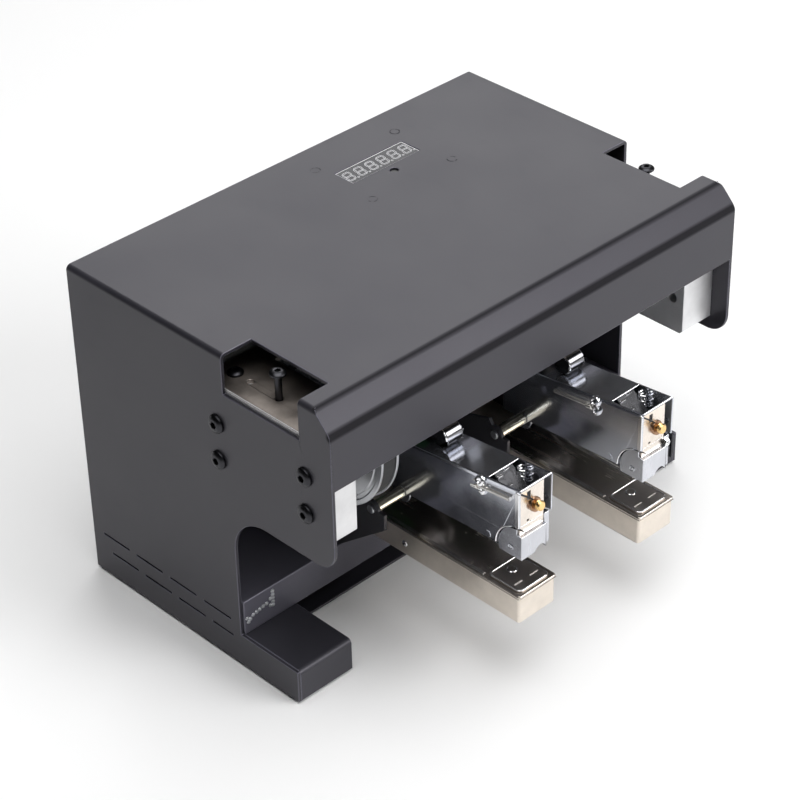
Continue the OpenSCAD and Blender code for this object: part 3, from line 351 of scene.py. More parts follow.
ALONG_X, ALONG_Y, ALONG_Z = (30, 1, 1), (1, 30, 1), (1, 1, 30)
CHARCOAL = (0.022, 0.0215, 0.027)
LOOKS = {
    "housing_paint": painted("charcoal_paint", CHARCOAL, 0.4, marks=stud_marks, shadow=bend_shadow),
    "rubber_pads": plastic("pad_rubber", (0.02, 0.02, 0.02), 0.75),
    "block_aluminium": metal("milled_aluminium", (0.72, 0.72, 0.73), 0.34, ALONG_Y, 0.5 * MM,
                             metallic=0.75),
    "black_screws": metal("black_oxide", (0.045, 0.045, 0.05), 0.28),
    "dark_screws": metal("dark_zinc", (0.13, 0.13, 0.14), 0.28),
    "tie_plate_zinc": metal("dull_zinc", (0.36, 0.32, 0.29), 0.4, ALONG_Y, 1.2 * MM, smudge=0.15,
                            tint=0.25),
    "bright_steel": metal("ground_steel", (0.6, 0.61, 0.63), 0.25, ALONG_X),
    "spring_steel": metal("spring_wire", (0.42, 0.43, 0.45), 0.3),
    "gearmotor_body": painted("motor_grey", (0.2, 0.21, 0.22), 0.4),
    "black_bracket": painted("bracket_black", (0.03, 0.03, 0.033), 0.32),
    "belt_rubber": plastic("belt_rubber", (0.022, 0.022, 0.023), 0.7),
    "board_green": plastic("solder_mask", (0.03, 0.14, 0.05), 0.35),
    "display_smoke": plastic("smoked_window", CHARCOAL, 0.4, 0.004 * MM),
    "stud_steel": metal("stud_steel", (0.5, 0.51, 0.53), 0.35),
    "socket_plastic": plastic("socket_plastic", (0.02, 0.02, 0.022), 0.4),
    "arm_nickel": metal("satin_nickel", (0.76, 0.69, 0.61), 0.26, ALONG_Y, metallic=0.85),
    "cap_nickel": metal("cap_nickel", (0.55, 0.5, 0.45), 0.2, ALONG_Y),
    "anvil_steel": metal("anvil_steel", (0.5, 0.46, 0.43), 0.25, ALONG_X),
    "yellow_zinc": metal("yellow_zinc", (0.86, 0.8, 0.64), 0.17, ALONG_X),
    "wheel_aluminium": turned_metal("turned_aluminium", (0.5, 0.51, 0.53), 0.3, "drive_wheel"),
    "cam_steel": metal("cam_steel", (0.4, 0.4, 0.42), 0.25),
    "plunger_chrome": metal("plunger_chrome", (0.2, 0.2, 0.21), 0.14),
    "magazine_steel": metal("magazine_steel", (0.3, 0.3, 0.32), 0.3, ALONG_Y),
    "nose_steel": metal("nose_plating", (0.6, 0.61, 0.65), 0.2, ALONG_Z),
    "front_plate_steel": metal("warm_nickel", (0.8, 0.73, 0.66), 0.22, ALONG_Z),
    "cover_chrome": metal("polished_chrome", (0.66, 0.68, 0.74), 0.11, ALONG_Y, depth=0.001 * MM,
                          metallic=0.95),
    "blade_steel": metal("blade_steel", (0.17, 0.17, 0.18), 0.22, ALONG_Z),
    "rod_steel": metal("bright_wire", (0.9, 0.88, 0.84), 0.14, ALONG_Y, metallic=0.8),
    "pusher_plastic": plastic("pusher_plastic", (0.05, 0.05, 0.055), 0.4),
    "pin_brass": metal("turned_brass", (0.85, 0.58, 0.26), 0.2),
}
# Lighter paint for the bevelled cut edges: a painted highlight where the small edges catch the light.
EDGE_HIGHLIGHT_PAINT = painted("rubbed_paint", shade(CHARCOAL, 5), 0.28)
# The deck's paint is the charcoal made three times lighter: painted light on its lip, which faces forward
# under the housing.
DECK_LIGHTENED_PAINT = painted("deck_paint", shade(CHARCOAL, 3.0), 0.42)
COPPER = metal("copper_collar", (0.36, 0.22, 0.14), 0.25, ALONG_Z)
DIGIT_INK = plastic("pale_segments", (0.8, 0.8, 0.82), 0.4, 0.001 * MM)
# Bright metal for small plated parts, and also the painted highlight on the cover's front strip, the beads,
# the anvil rims and the plungers' edges.
TRIM_AND_HIGHLIGHT = metal("bright_trim", (0.9, 0.9, 0.92), 0.12)
BRASS_BLADES = metal("inlet_blades", (0.8, 0.66, 0.4), 0.25)


def wear(mesh, *materials):
    """Gives a mesh its materials in order."""
    mesh.materials.clear()
    for material in materials:
        mesh.materials.append(material)


# Mesh work
WELD = 0.002 * MM
FLAT = math.radians(0.5)
SHARP = math.radians(35)
EDGE_STEPS = 4
BEND_STEPS = 8
TURN_STEPS = 48
ROUND_OFF = 1e-15


def metres(pairs):
    """An outline or a profile given in millimetres, in metres."""
    return [(a * MM, b * MM) for a, b in pairs]


def copy_of(node):
    """A merged copy of a CAD node's loose triangles, with whole flat faces."""
    solid = bmesh.new()
    solid.from_mesh(NODES[node].data)
    bmesh.ops.remove_doubles(solid, verts=solid.verts, dist=WELD)
    bmesh.ops.dissolve_limit(solid, angle_limit=FLAT, verts=solid.verts, edges=solid.edges)
    bmesh.ops.connect_verts_concave(solid, faces=solid.faces)
    return solid


def near(value, wanted, slack=SLACK):
    return abs(value - wanted) < slack


def round_edges(solid, radius, chosen):
    """Rounds each edge whose two ends and two faces pass a test."""
    edges = [
        edge for edge in solid.edges
        if len(edge.link_faces) == 2 and edge.calc_face_angle(0) > SHARP / 2
        and chosen(edge.verts[0].co, edge.verts[1].co, [face.normal for face in edge.link_faces])
    ]
    if edges:
        bmesh.ops.bevel(solid, geom=edges, offset=radius, offset_type="OFFSET", segments=EDGE_STEPS,
                        profile=0.5, affect="EDGES", clamp_overlap=False)


def bend_sheet(solid, corner, first, second, radius):
    """Rounds the outside of a fold along X, through a corner in Y and Z, between two face normals."""
    first, second, corner = Vector(first).normalized(), Vector(second).normalized(), Vector(corner)
    centre = corner - radius / (1 + first.dot(second)) * (first + second)
    whole = first.angle(second)
    reach = 2 * (corner - centre).length
    for i in range(BEND_STEPS + 1):
        turned_by = whole * i / BEND_STEPS
        spoke = (math.sin(whole - turned_by) * first + math.sin(turned_by) * second).normalized()
        close = [f for f in solid.faces if any((v.co.yz - centre).length < reach for v in f.verts)]
        rims = [part for f in close for part in (*f.edges, *f.verts)]
        parts = dict.fromkeys(rims + close)
        bmesh.ops.bisect_plane(solid, geom=list(parts), dist=WELD, plane_co=(0, *centre),
                               plane_no=(0, -spoke.y, spoke.x))
    for vert in solid.verts:
        out = vert.co.yz - centre
        between = out.cross(first) * out.cross(second) <= ROUND_OFF and out.dot(first + second) > 0
        if between and radius < out.length < reach:
            vert.co.yz = centre + radius * out.normalized()


def slab(solid, outline, depth, place):
    """Adds an outline drawn anticlockwise in X and Y, pushed up by a depth."""
    low = [solid.verts.new(place @ Vector((x, y, 0))) for x, y in outline]
    high = [solid.verts.new(place @ Vector((x, y, depth))) for x, y in outline]
    solid.faces.new(low[::-1])
    solid.faces.new(high)
    for i, corner in enumerate(low):
        j = (i + 1) % len(low)
        solid.faces.new((corner, low[j], high[j], high[i]))


def turned(solid, profile, place=Matrix(), steps=TURN_STEPS):
    """Adds a turned shape, from pole to pole, by pairs of a height and a radius, fixed or for each angle."""
    rings = []
    for height, radius in profile:
        if radius == 0:
            rings.append([solid.verts.new(place @ Vector((0, 0, height)))] * steps)
            continue
        ring = []
        for i in range(steps):
            angle = math.tau * i / steps
            reach = radius(angle) if callable(radius) else radius
            spot = Vector((reach * math.cos(angle), reach * math.sin(angle), height))
            ring.append(solid.verts.new(place @ spot))
        rings.append(ring)
    for low, high in zip(rings, rings[1:]):
        for i in range(steps):
            j = (i + 1) % steps
            solid.faces.new(tuple(dict.fromkeys((low[i], low[j], high[j], high[i]))))


def off_the_lathe(profile, steps=TURN_STEPS):
    """A new solid of one turned shape."""
    solid = bmesh.new()
    turned(solid, profile, steps=steps)
    return solid


def hexagon(half_flats):
    """Radius of a hexagon at each angle."""
    sixth = math.tau / 6
    return lambda angle: half_flats / math.cos(angle % sixth - sixth / 2)


def arc(radius, start, end, steps, centre=(0, 0)):
    """Points along an arc, from one angle in degrees to another."""
    angles = [math.radians(start + (end - start) * i / steps) for i in range(steps + 1)]
    return [(centre[0] + radius * math.cos(a), centre[1] + radius * math.sin(a)) for a in angles]


def bow(inner, outer, start, end, steps=16):
    """Outline of a piece of a flat ring."""
    return arc(outer, start, end, steps) + arc(inner, start, end, steps)[::-1]


def rounded(width, depth, radius, steps=6):
    """Outline of a rectangle with round corners, about the origin."""
    x, y = width / 2 - radius, depth / 2 - radius
    corners = ((x, y), (-x, y), (-x, -y), (x, -y))
    quarters = [arc(radius, 90 * i, 90 * (i + 1), steps, corner) for i, corner in enumerate(corners)]
    return [point for quarter in quarters for point in quarter]


def set_down(place, facing=UP, towards="Y"):
    """The matrix that puts a shape's origin at a place, with its Z along a direction."""
    return Matrix.Translation(place) @ Vector(facing).to_track_quat("Z", towards).to_matrix().to_4x4()


def plain(piece):
    """Turns a piece's modifiers into its mesh."""
    graph = bpy.context.evaluated_depsgraph_get()
    result = piece.evaluated_get(graph)
    mesh = bpy.data.meshes.new_from_object(result, preserve_all_data_layers=True, depsgraph=graph)
    piece.modifiers.clear()
    piece.data = mesh


def carry(piece, node, instead=False):
    """A piece moves with a node's body, and may stand instead of it."""
    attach(piece, BODY_OF[node])
    if instead:
        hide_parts(node)


def add_object(name, mesh):
    made = bpy.data.objects.new(name, mesh)
    COLLECTION.objects.link(made)
    return made


def finished(name, solid, node, materials, edge=0.0, instead=False):
    """Makes a piece of a solid, with soft edges of a width in mm, in the last material if there are two."""
    if not instead:
        bmesh.ops.recalc_face_normals(solid, faces=solid.faces)
    mesh = bpy.data.meshes.new(name)
    solid.to_mesh(mesh)
    solid.free()
    wear(mesh, *materials)
    mesh.shade_smooth()
    mesh.set_sharp_from_angle(angle=SHARP)
    piece = add_object(name, mesh)
    if edge:
        bevel = piece.modifiers.new("soft_edges", "BEVEL")
        bevel.width = edge * MM
        bevel.segments = 2
        bevel.limit_method = "ANGLE"
        bevel.angle_limit = SHARP
        bevel.use_clamp_overlap = False
        bevel.material = len(materials) - 1 if len(materials) > 1 else -1
    normals = piece.modifiers.new("flat_faces", "WEIGHTED_NORMAL")
    normals.keep_sharp = True
    plain(piece)
    carry(piece, node, instead)


def stand_in(node, solid, edge, *materials, manner="finished_"):
    """Makes the piece that is shown instead of a node, in the node's own look if none is given."""
    finished(manner + node, solid, node, materials or [LOOKS[SLOT_OF[node]]], edge, True)


# Geometry nodes
class Tree:
    """A node tree for geometry, with one method that makes any of its nodes."""

    def __init__(self, name, **given):
        self.group = bpy.data.node_groups.new(name, "GeometryNodeTree")
        sockets = {"Geometry": "NodeSocketGeometry", **given, "Material": "NodeSocketMaterial"}
        for socket, kind in sockets.items():
            self.group.interface.new_socket(socket.replace("_", " "), in_out="INPUT", socket_type=kind)
        self.group.interface.new_socket("Geometry", in_out="OUTPUT", socket_type="NodeSocketGeometry")
        self.given = self.group.nodes.new("NodeGroupInput").outputs

    def node(self, kind, settings, values, output=0):
        made = self.group.nodes.new(kind)
        for name, value in settings.items():
            setattr(made, name, value)
        for name, value in values.items():
            target = next(s for s in made.inputs if name in (s.identifier, s.name) and s.enabled)
            if isinstance(value, bpy.types.NodeSocket):
                self.group.links.new(value, target)
            else:
                target.default_value = value
        return made.outputs[output]

    def wire(self, path, radius, sides):
        """A round wire along a curve."""
        section = self.node("GeometryNodeCurvePrimitiveCircle", {}, {"Resolution": sides, "Radius": radius})
        values = {"Curve": path, "Profile Curve": section, "Fill Caps": True}
        return self.node("GeometryNodeCurveToMesh", {}, values)

    def end(self, geometry):
        """Closes the tree: all copies made real, in the given material."""
        whole = self.node("GeometryNodeRealizeInstances", {}, {"Geometry": geometry})
        values = {"Geometry": whole, "Material": self.given["Material"]}
        dressed = self.node("GeometryNodeSetMaterial", {}, values)
        self.group.links.new(dressed, self.group.nodes.new("NodeGroupOutput").inputs[0])
        return self.group


def scattered_tree():
    """Puts a shape at each point, turned by the point's own turn."""
    tree = Tree("shape_at_points", Shape="NodeSocketObject")
    shape = tree.node("GeometryNodeObjectInfo", {}, {"Object": tree.given["Shape"]}, "Geometry")
    turn = tree.node("GeometryNodeInputNamedAttribute", {"data_type": "FLOAT_VECTOR"}, {"Name": "turn"})
    turning = tree.node("FunctionNodeEulerToRotation", {}, {"Euler": turn})
    values = {"Points": tree.given["Geometry"], "Instance": shape, "Rotation": turning}
    return tree.end(tree.node("GeometryNodeInstanceOnPoints", {}, values))


def swept_tree():
    """Runs a round wire along each path, its corners rounded."""
    tree = Tree("wire_on_path", Radius="NodeSocketFloat", Bend="NodeSocketFloat")
    path = tree.node("GeometryNodeMeshToCurve", {}, {"Mesh": tree.given["Geometry"]})
    values = {"Curve": path, "Radius": tree.given["Bend"], "Count": 6, "Limit Radius": True}
    path = tree.node("GeometryNodeFilletCurve", {"mode": "POLY"}, values)
    return tree.end(tree.wire(path, tree.given["Radius"], 12))


def wound_tree():
    """Winds a round wire into an upright coil at each point."""
    names = {"Turns": "NodeSocketFloat", "Coil_Radius": "NodeSocketFloat", "Height": "NodeSocketFloat",
             "Wire_Radius": "NodeSocketFloat"}
    tree = Tree("coil_at_points", **names)
    coil_r = tree.given["Coil Radius"]
    values = {"Resolution": 28, "Rotations": tree.given["Turns"], "Start Radius": coil_r,
              "End Radius": coil_r, "Height": tree.given["Height"]}
    coil = tree.node("GeometryNodeCurveSpiral", {}, values)
    wire = tree.wire(coil, tree.given["Wire Radius"], 10)
    values = {"Points": tree.given["Geometry"], "Instance": wire}
    return tree.end(tree.node("GeometryNodeInstanceOnPoints", {}, values))


SCATTERED, SWEPT, WOUND = scattered_tree(), swept_tree(), wound_tree()


def grown(name, points, edges, tree, inputs, node, instead=False, turns=None):
    """Makes a piece by a tree from points, or from paths of points, and turns it into a plain mesh."""
    mesh = bpy.data.meshes.new(name)
    mesh.from_pydata([tuple(point) for point in points], edges, [])
    if turns:
        turn = mesh.attributes.new("turn", "FLOAT_VECTOR", "POINT")
        turn.data.foreach_set("vector", [angle for euler in turns for angle in euler])
    piece = add_object(name, mesh)
    grow = piece.modifiers.new("grow", "NODES")
    grow.node_group = tree
    for item in tree.interface.items_tree:
        if item.in_out == "INPUT" and item.name in inputs:
            grow[item.identifier] = inputs[item.name]
    plain(piece)
    piece.data.shade_smooth()
    piece.data.set_sharp_from_angle(angle=SHARP)
    carry(piece, node, instead)
    return piece


def scattered(name, solid, places, node, material, instead=False):
    """Repeats a small solid at places, each a point and the direction that its Z takes."""
    bmesh.ops.recalc_face_normals(solid, faces=solid.faces)
    mesh = bpy.data.meshes.new(name)
    solid.to_mesh(mesh)
    solid.free()
    shape = add_object(name + "_shape", mesh)
    turns = [Vector(facing).to_track_quat("Z", "Y").to_euler() for point, facing in places]
    points = [point for point, facing in places]
    inputs = {"Shape": shape, "Material": material}
    grown(name, points, [], SCATTERED, inputs, node, instead, turns)
    bpy.data.objects.remove(shape)


def swept(name, paths, radius, node, material, bend=0.0, instead=False):
    """Runs a wire along paths, each a list of points. Its radius and its bends' radius are in mm."""
    points, edges = [], []
    for path in paths:
        edges += [(len(points) + i, len(points) + i + 1) for i in range(len(path) - 1)]
        points += path
    inputs = {"Radius": radius * MM, "Bend": bend * MM, "Material": material}
    grown(name, points, edges, SWEPT, inputs, node, instead)


# Screws: shares of the thread's diameter
HEAD_SHARE = 1.75
RISE_SHARE = 0.55
SOCKET_SHARE = 0.29
TIP_SHARE = 0.06
SEAT_SOFT_SHARE = 0.02
RIM_FALL_SHARE = 0.03
SOCKET_LIP_SHARE = 0.012
SOCKET_SLOPE_SHARE = 0.04
SOCKET_DIP_SHARE = 0.03
# The dome's radius as a share of the head's diameter, and its rings as shares of the head's radius
DOME_SHARE = 0.72
DOME_RING_SHARES = (1, 0.985, 0.94, 0.86, 0.74, 0.6)
# The socket's mouth and floor as shares of its own width
MOUTH_SHARE = 1.12
FLOOR_SHARE = 0.97
SHANK_UNDER = 0.05 * MM


def button_screw(d, length, shank=None):
    """Button head screw with a hexagon socket, its seat at the origin and its head along Z."""
    shank_r = (shank or d) / 2
    tip = d * TIP_SHARE
    head_r = d * HEAD_SHARE / 2
    soft = d * SEAT_SOFT_SHARE
    rise = d * RISE_SHARE
    dome_r = 2 * head_r * DOME_SHARE
    socket = d * SOCKET_SHARE
    radii = [head_r * share for share in DOME_RING_SHARES]
    dome = [(rise - dome_r + math.sqrt(dome_r ** 2 - r ** 2), r) for r in radii]
    dome[0] = (dome[0][0] - d * RIM_FALL_SHARE, head_r)
    rim = dome[-1][0] + d * SOCKET_LIP_SHARE
    profile = [(-length, 0), (-length, shank_r - tip), (tip - length, shank_r - SHANK_UNDER),
               (0, shank_r - SHANK_UNDER), (0, head_r - soft), (soft, head_r)]
    profile += dome
    profile += [(rim, hexagon(socket * MOUTH_SHARE)), (rim - d * SOCKET_SLOPE_SHARE, hexagon(socket)),
                (rise / 3, hexagon(socket * FLOOR_SHARE)), (rise / 3 - d * SOCKET_DIP_SHARE, 0)]
    return off_the_lathe(profile)


RIVET_STEPS = 32
RIVET_ANGLES = (0.0, 0.4, 0.8, 1.15)


def dome_rivet(radius, rise):
    """Low domed rivet."""
    profile = [(-rise, 0), (-rise, radius)]
    profile += [(rise * math.sin(a), radius * math.cos(a)) for a in RIVET_ANGLES] + [(rise, 0)]
    return off_the_lathe(profile, RIVET_STEPS)


def ring_rivet(radius, rise, collar):
    """Rolled rivet: a round ring about a small sunk dome."""
    inner = radius - collar
    roll = collar * 0.3
    profile = [(-rise, 0), (-rise, radius), (rise * 0.5, radius), (rise, radius - roll), (rise, inner + roll),
               (rise * 0.3, inner), (rise * 0.1, inner * 0.8), (rise * 0.5, inner * 0.6), (rise * 0.7, 0)]
    return off_the_lathe(profile, RIVET_STEPS)


def corners_of(node):
    """A node's lowest and highest corners, in millimetres with Y from the apron."""
    low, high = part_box(node)
    return [Vector((c.x / MM, (c.y - FRONT) / MM, c.z / MM)) for c in (low, high)]


def middle_of(node):
    """The middle of a node's box, in the same measure."""
    return [(low + high) / 2 for low, high in zip(*corners_of(node))]


SIDE_LOW, SIDE_HIGH = corners_of("side_screws")
TIE_LOW, TIE_HIGH = corners_of("tie_plate")
SHAFT_Y, SHAFT_Z = middle_of("main_shaft")[1:]
BLOCK_X = middle_of("right_block")[0]
M3, M4, M5, M6 = 3, 4, 5, 6
SIDE_LENGTH, TIE_LENGTH, POST_LENGTH, REAR_LENGTH = 12, 8, 8, 7
SIDE_DY = SIDE_HIGH.y - SIDE_LOW.y - M6 * HEAD_SHARE
SIDE_DZ = SIDE_HIGH.z - SIDE_LOW.z - M6 * HEAD_SHARE
# How far the right upright screw ends under the top, and how much lower the left one is
UPRIGHT_UNDER_TOP = 0.2
LEFT_UPRIGHT_DOWN = 2.4
# Height of the middle pair on the back panel, as a share of the way from the low pair to the high pair
REAR_MIDDLE_SHARE = 0.506
PAIRS = [(i, j) for i in (-1, 1) for j in (-1, 1)]


def lay_screws(name, node, screw, places, instead=True):
    """Puts screws in the black screws' look at places, with a node's body, and instead of that node unless
    told otherwise.
    """
    scattered(name, screw, places, node, LOOKS["black_screws"], instead)


def set_screws():
    """All the button head screws."""
    places = [
        (at(s * HALF_W, SHAFT_Y + i * SIDE_DY / 2, SHAFT_Z + j * SIDE_DZ / 2), (s, 0, 0))
        for s in SIDES.values() for i, j in PAIRS
    ]
    lay_screws("side_button_screws", "side_screws", button_screw(M6 * MM, SIDE_LENGTH * MM), places)
    places = [(at(i * BLOCK_X, SHAFT_Y + j * SIDE_DY / 2, TIE_HIGH.z), UP) for i, j in PAIRS]
    lay_screws("tie_button_screws", "tie_screws", button_screw(M5 * MM, TIE_LENGTH * MM), places)
    low, high = corners_of("guide_posts")
    post_x = high.x - (high.y - low.y) / 2
    places = [(at(s * post_x, (low.y + high.y) / 2, TIE_HIGH.z), UP) for s in SIDES.values()]
    lay_screws("post_button_screws", "tie_screws", button_screw(M4 * MM, POST_LENGTH * MM), places, False)
    foot = corners_of("adjusting_screws")[0].z
    seat = TOP - UPRIGHT_UNDER_TOP - M5 * RISE_SHARE
    places = [(at(-BLOCK_X, SHAFT_Y, seat - LEFT_UPRIGHT_DOWN), UP), (at(BLOCK_X, SHAFT_Y, seat), UP)]
    screw = button_screw(M5 * MM, (seat - foot) * MM, M4 * MM)
    lay_screws("upright_screws", "adjusting_screws", screw, places)
    low, high = corners_of("rear_screws")
    head = M3 * HEAD_SHARE / 2
    lowest, highest = low.z + head, high.z - head
    rows = (lowest, lowest + (highest - lowest) * REAR_MIDDLE_SHARE, highest)
    seat = high.y - M3 * RISE_SHARE
    places = [(at(s * (high.x - head), seat, z), (0, 1, 0)) for s in SIDES.values() for z in rows]
    lay_screws("rear_button_screws", "rear_screws", button_screw(M3 * MM, REAR_LENGTH * MM), places)


# Coil springs on the guide posts
COIL_TURNS = 10
WIRE_R = 0.7


def wind_springs():
    low, high = corners_of("return_springs")
    mean_r = (high.y - low.y) / 2 - WIRE_R
    post_x = high.x - mean_r - WIRE_R
    height = high.z - low.z - 2 * WIRE_R
    points = [at(s * post_x, (low.y + high.y) / 2, low.z + WIRE_R) for s in SIDES.values()]
    inputs = {"Turns": float(COIL_TURNS), "Coil Radius": mean_r * MM, "Height": height * MM,
              "Wire Radius": WIRE_R * MM, "Material": LOOKS["spring_steel"]}
    springs = grown("wound_return_springs", points, [], WOUND, inputs, "return_springs", True)
    press = next(j for j in frame["record"]["behaviour"]["joints"] if j["name"] == "press_stroke")
    stroke = press["range_m"][1]
    tuple(at(0, 0, low.z))
    1 - stroke / (height * MM)
    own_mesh(springs)


# Housing and feet
BEND_TOP_R = 6.0
BEND_LOW_R = 7.0


def dress_housing():
    """The folded sheet, with round bends along the slanted edge and its cut edges in lighter paint, a painted
    highlight.
    """
    solid = copy_of("housing")
    top_corner, low_corner = BENDS
    slanted = Vector((top_corner.y - low_corner.y, low_corner.x - top_corner.x)) * -1
    bend_sheet(solid, top_corner, (0, 1), slanted, BEND_TOP_R * MM)
    bend_sheet(solid, low_corner, slanted, (-1, 0), BEND_LOW_R * MM)
    stand_in("housing", solid, 0.3, LOOKS["housing_paint"], EDGE_HIGHLIGHT_PAINT, manner="folded_")


def dress_plain(node, edge, *materials):
    """A node as it is, with soft edges."""
    stand_in(node, copy_of(node), edge, *materials)


# Display: six digits drawn as the outlines of their segments
DIGIT_COUNT = 6
DIGIT_H = 8.2
DIGIT_W = 4.6
DIGIT_LEAN = math.tan(math.radians(10))
# A digit's middle within its sixth of the display
DIGIT_MIDDLE_SHARE = 0.46
SEGMENT_T = 1.1
SEGMENT_GAP = 0.35
POINT_R = 0.65
POINT_ASIDE = 1.0
LINE_T = 0.2
INK_T = 0.04
# The pale line round the digits
BEZEL_INSET = 0.1
BEZEL_W = 0.45
BEZEL_T = 0.24
BEZEL_SUNK = 0.2
BEZEL_OUTER_R = 0.6
BEZEL_INNER_R = 0.35


def segment_outline(length, half):
    """A bar with pointed ends, about the origin, along X."""
    return [(-length / 2, 0), (half - length / 2, -half), (length / 2 - half, -half), (length / 2, 0),
            (length / 2 - half, half), (half - length / 2, half)]


def frame_slab(solid, outer, inner, depth, place):
    """Adds a flat closed frame between two outlines with as many points."""
    loops = [[solid.verts.new(place @ Vector((x, y, z))) for x, y in outline]
             for outline, z in ((outer, 0), (outer, depth), (inner, depth), (inner, 0))]
    for first, second in zip(loops, loops[1:] + loops[:1]):
        for i, corner in enumerate(first):
            j = (i + 1) % len(first)
            solid.faces.new((corner, first[j], second[j], second[i]))


def one_digit():
    """An eight and its point, leaning, each segment a thin outline."""
    solid = bmesh.new()
    upright = Matrix.Rotation(math.pi, 4, "Z") @ Matrix.Scale(MM, 4)
    lean = Matrix(((1, DIGIT_LEAN, 0, 0), (0, 1, 0, 0), (0, 0, 1, 0), (0, 0, 0, 1)))
    x, y = DIGIT_W / 2, DIGIT_H / 2
    bars = [(0, y, 0), (0, 0, 0), (0, -y, 0)] + [(i * x, j * y / 2, 90) for i, j in PAIRS]
    for px, py, angle in bars:
        length = (DIGIT_W if angle == 0 else DIGIT_H / 2) - SEGMENT_GAP
        turn = Matrix.Rotation(math.radians(angle), 4, "Z")
        place = upright @ lean @ Matrix.Translation((px, py, 0)) @ turn
        outer = segment_outline(length, SEGMENT_T / 2)
        inner = segment_outline(length - 2.4 * LINE_T, SEGMENT_T / 2 - LINE_T)
        frame_slab(solid, outer, inner, INK_T, place)
    dot = upright @ Matrix.Translation((x + POINT_ASIDE, -y, 0))
    outer, inner = (arc(r, 0, 337.5, 15) for r in (POINT_R, POINT_R - LINE_T))
    frame_slab(solid, outer, inner, INK_T, dot)
    return solid


def dress_display():
    low, high = corners_of("display")
    wide, deep = high.x - low.x, high.y - low.y
    pitch = wide / DIGIT_COUNT
    y = (low.y + high.y) / 2
    places = [(at(low.x + (i + DIGIT_MIDDLE_SHARE) * pitch, y, high.z), UP) for i in range(DIGIT_COUNT)]
    scattered("display_digits", one_digit(), places, "display", DIGIT_INK)
    solid = bmesh.new()
    middle = at((low.x + high.x) / 2, y, high.z - BEZEL_SUNK)
    outer, inner = (
        metres(rounded(wide - 2 * inset, deep - 2 * inset, radius))
        for inset, radius in ((BEZEL_INSET, BEZEL_OUTER_R), (BEZEL_INSET + BEZEL_W, BEZEL_INNER_R))
    )
    frame_slab(solid, outer, inner, BEZEL_T * MM, Matrix.Translation(middle))
    finished("display_bezel", solid, "display", [DIGIT_INK], 0.08)


# Heads. Places are in millimetres from the pivot, and each head is symmetrical about its middle.
HEAD_X = (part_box("right_cover")[0].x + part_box("right_cover")[1].x) / 2 / MM
PIVOT_Y, PIVOT_Z = middle_of("pivot_pins")[1:]
COVER_HALF = (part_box("right_cover")[1].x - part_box("right_cover")[0].x) / 2 / MM
COVER_FRONT = PIVOT_Y - corners_of("right_cover")[0].y
COVER_SHEET = 0.9
COVER_RISE = 33.35
TOP_SLOPE = math.radians(6.44)
OPENING_REAR = 62.5
NOSE_Y, NOSE_Z, NOSE_R = -85.5, 3.5, 15.8
NOSE_HALF = 11.1
PLATE_BACK, PLATE_FRONT = -82.6, -83.9
# Where the front plate's foot meets the nose's face, up from the table
NOSE_FACE_TOP = 96.5


def in_head(s, x, y, z):
    return at(s * HEAD_X + x, PIVOT_Y + y, PIVOT_Z + z)


def cover_top(y):
    """Height of the cover's top over the pivot."""
    return (COVER_RISE - math.sin(TOP_SLOPE) * y) / math.cos(TOP_SLOPE)


BRACKET_EAR_R = 9.5
EAR_SHARE = 0.56


def dress_bracket(side, s):
    """Bracket, the upper front of its ears drawn in close round the pivot."""
    solid = copy_of(side + "_bracket")
    pivot = in_head(s, 0, 0, 0).yz
    for vert in solid.verts:
        out = vert.co.yz - pivot
        if out.y > 0.2 * MM and out.x < 4 * MM and near(out.length, BRACKET_EAR_R * MM, 0.6 * MM):
            vert.co.yz = pivot + out * EAR_SHARE
    stand_in(side + "_bracket", solid, 0.2)


COVER_ROUND = 1.1
STRIP_W, STRIP_T = 3.0, 0.8
RIM_R = 0.42
LEAF_W, LEAF_T = 5.2, 0.12
# What the leaf is sunk into the wall
LEAF_SUNK = 0.03


def dress_cover(side, s):
    """Chrome cover, rounded along the top."""
    solid = copy_of(side + "_cover")
    middle = s * HEAD_X * MM

    def along_top(a, b, normals):
        outside = all(near(abs(p.x - middle), COVER_HALF * MM) for p in (a, b))
        return outside and any(n.z > 0.9 for n in normals) and abs(a.y - b.y) > 5 * MM

    round_edges(solid, COVER_ROUND * MM, along_top)
    stand_in(side + "_cover", solid, 0.18, manner="polished_")


def trim_cover(side, s):
    """A bright strip up the cover's left wall, a painted highlight of its rolled front edge, rims at its
    opening, and a leaf inside its right wall.
    """
    cover = side + "_cover"
    foot, head = NOSE_Z + NOSE_R + 0.6, cover_top(-COVER_FRONT) - 0.7
    tall, middle = head - foot, (foot + head) / 2
    # The strip's bright metal is a painted highlight: it stands for the light on the cover's front edge where
    # it rolls round.
    strip = bmesh.new()
    place = set_down(in_head(s, 0.1 - COVER_HALF, PLATE_FRONT, middle), (-1, 0, 0))
    slab(strip, metres(rounded(STRIP_W, tall, STRIP_W * 0.48)), STRIP_T * MM, place)
    finished(side + "_front_strip", strip, cover, [TRIM_AND_HIGHLIGHT], 0.35)
    rims = []
    for y, half in ((-OPENING_REAR, COVER_HALF - 1.6), (0.35 - COVER_FRONT, COVER_HALF - 0.9)):
        height = cover_top(y) - 0.1
        rims.append([in_head(s, -half, y, height), in_head(s, half, y, height)])
    swept(side + "_opening_rims", rims, RIM_R, cover, TRIM_AND_HIGHLIGHT)
    leaf = bmesh.new()
    place = set_down(in_head(s, COVER_HALF - COVER_SHEET + LEAF_SUNK, PLATE_BACK, middle), (-1, 0, 0))
    slab(leaf, metres(rounded(LEAF_W, tall, 2.3)), (LEAF_T + LEAF_SUNK) * MM, place)
    finished(side + "_wall_leaf", leaf, cover, [LOOKS["stud_steel"]], 0.04)


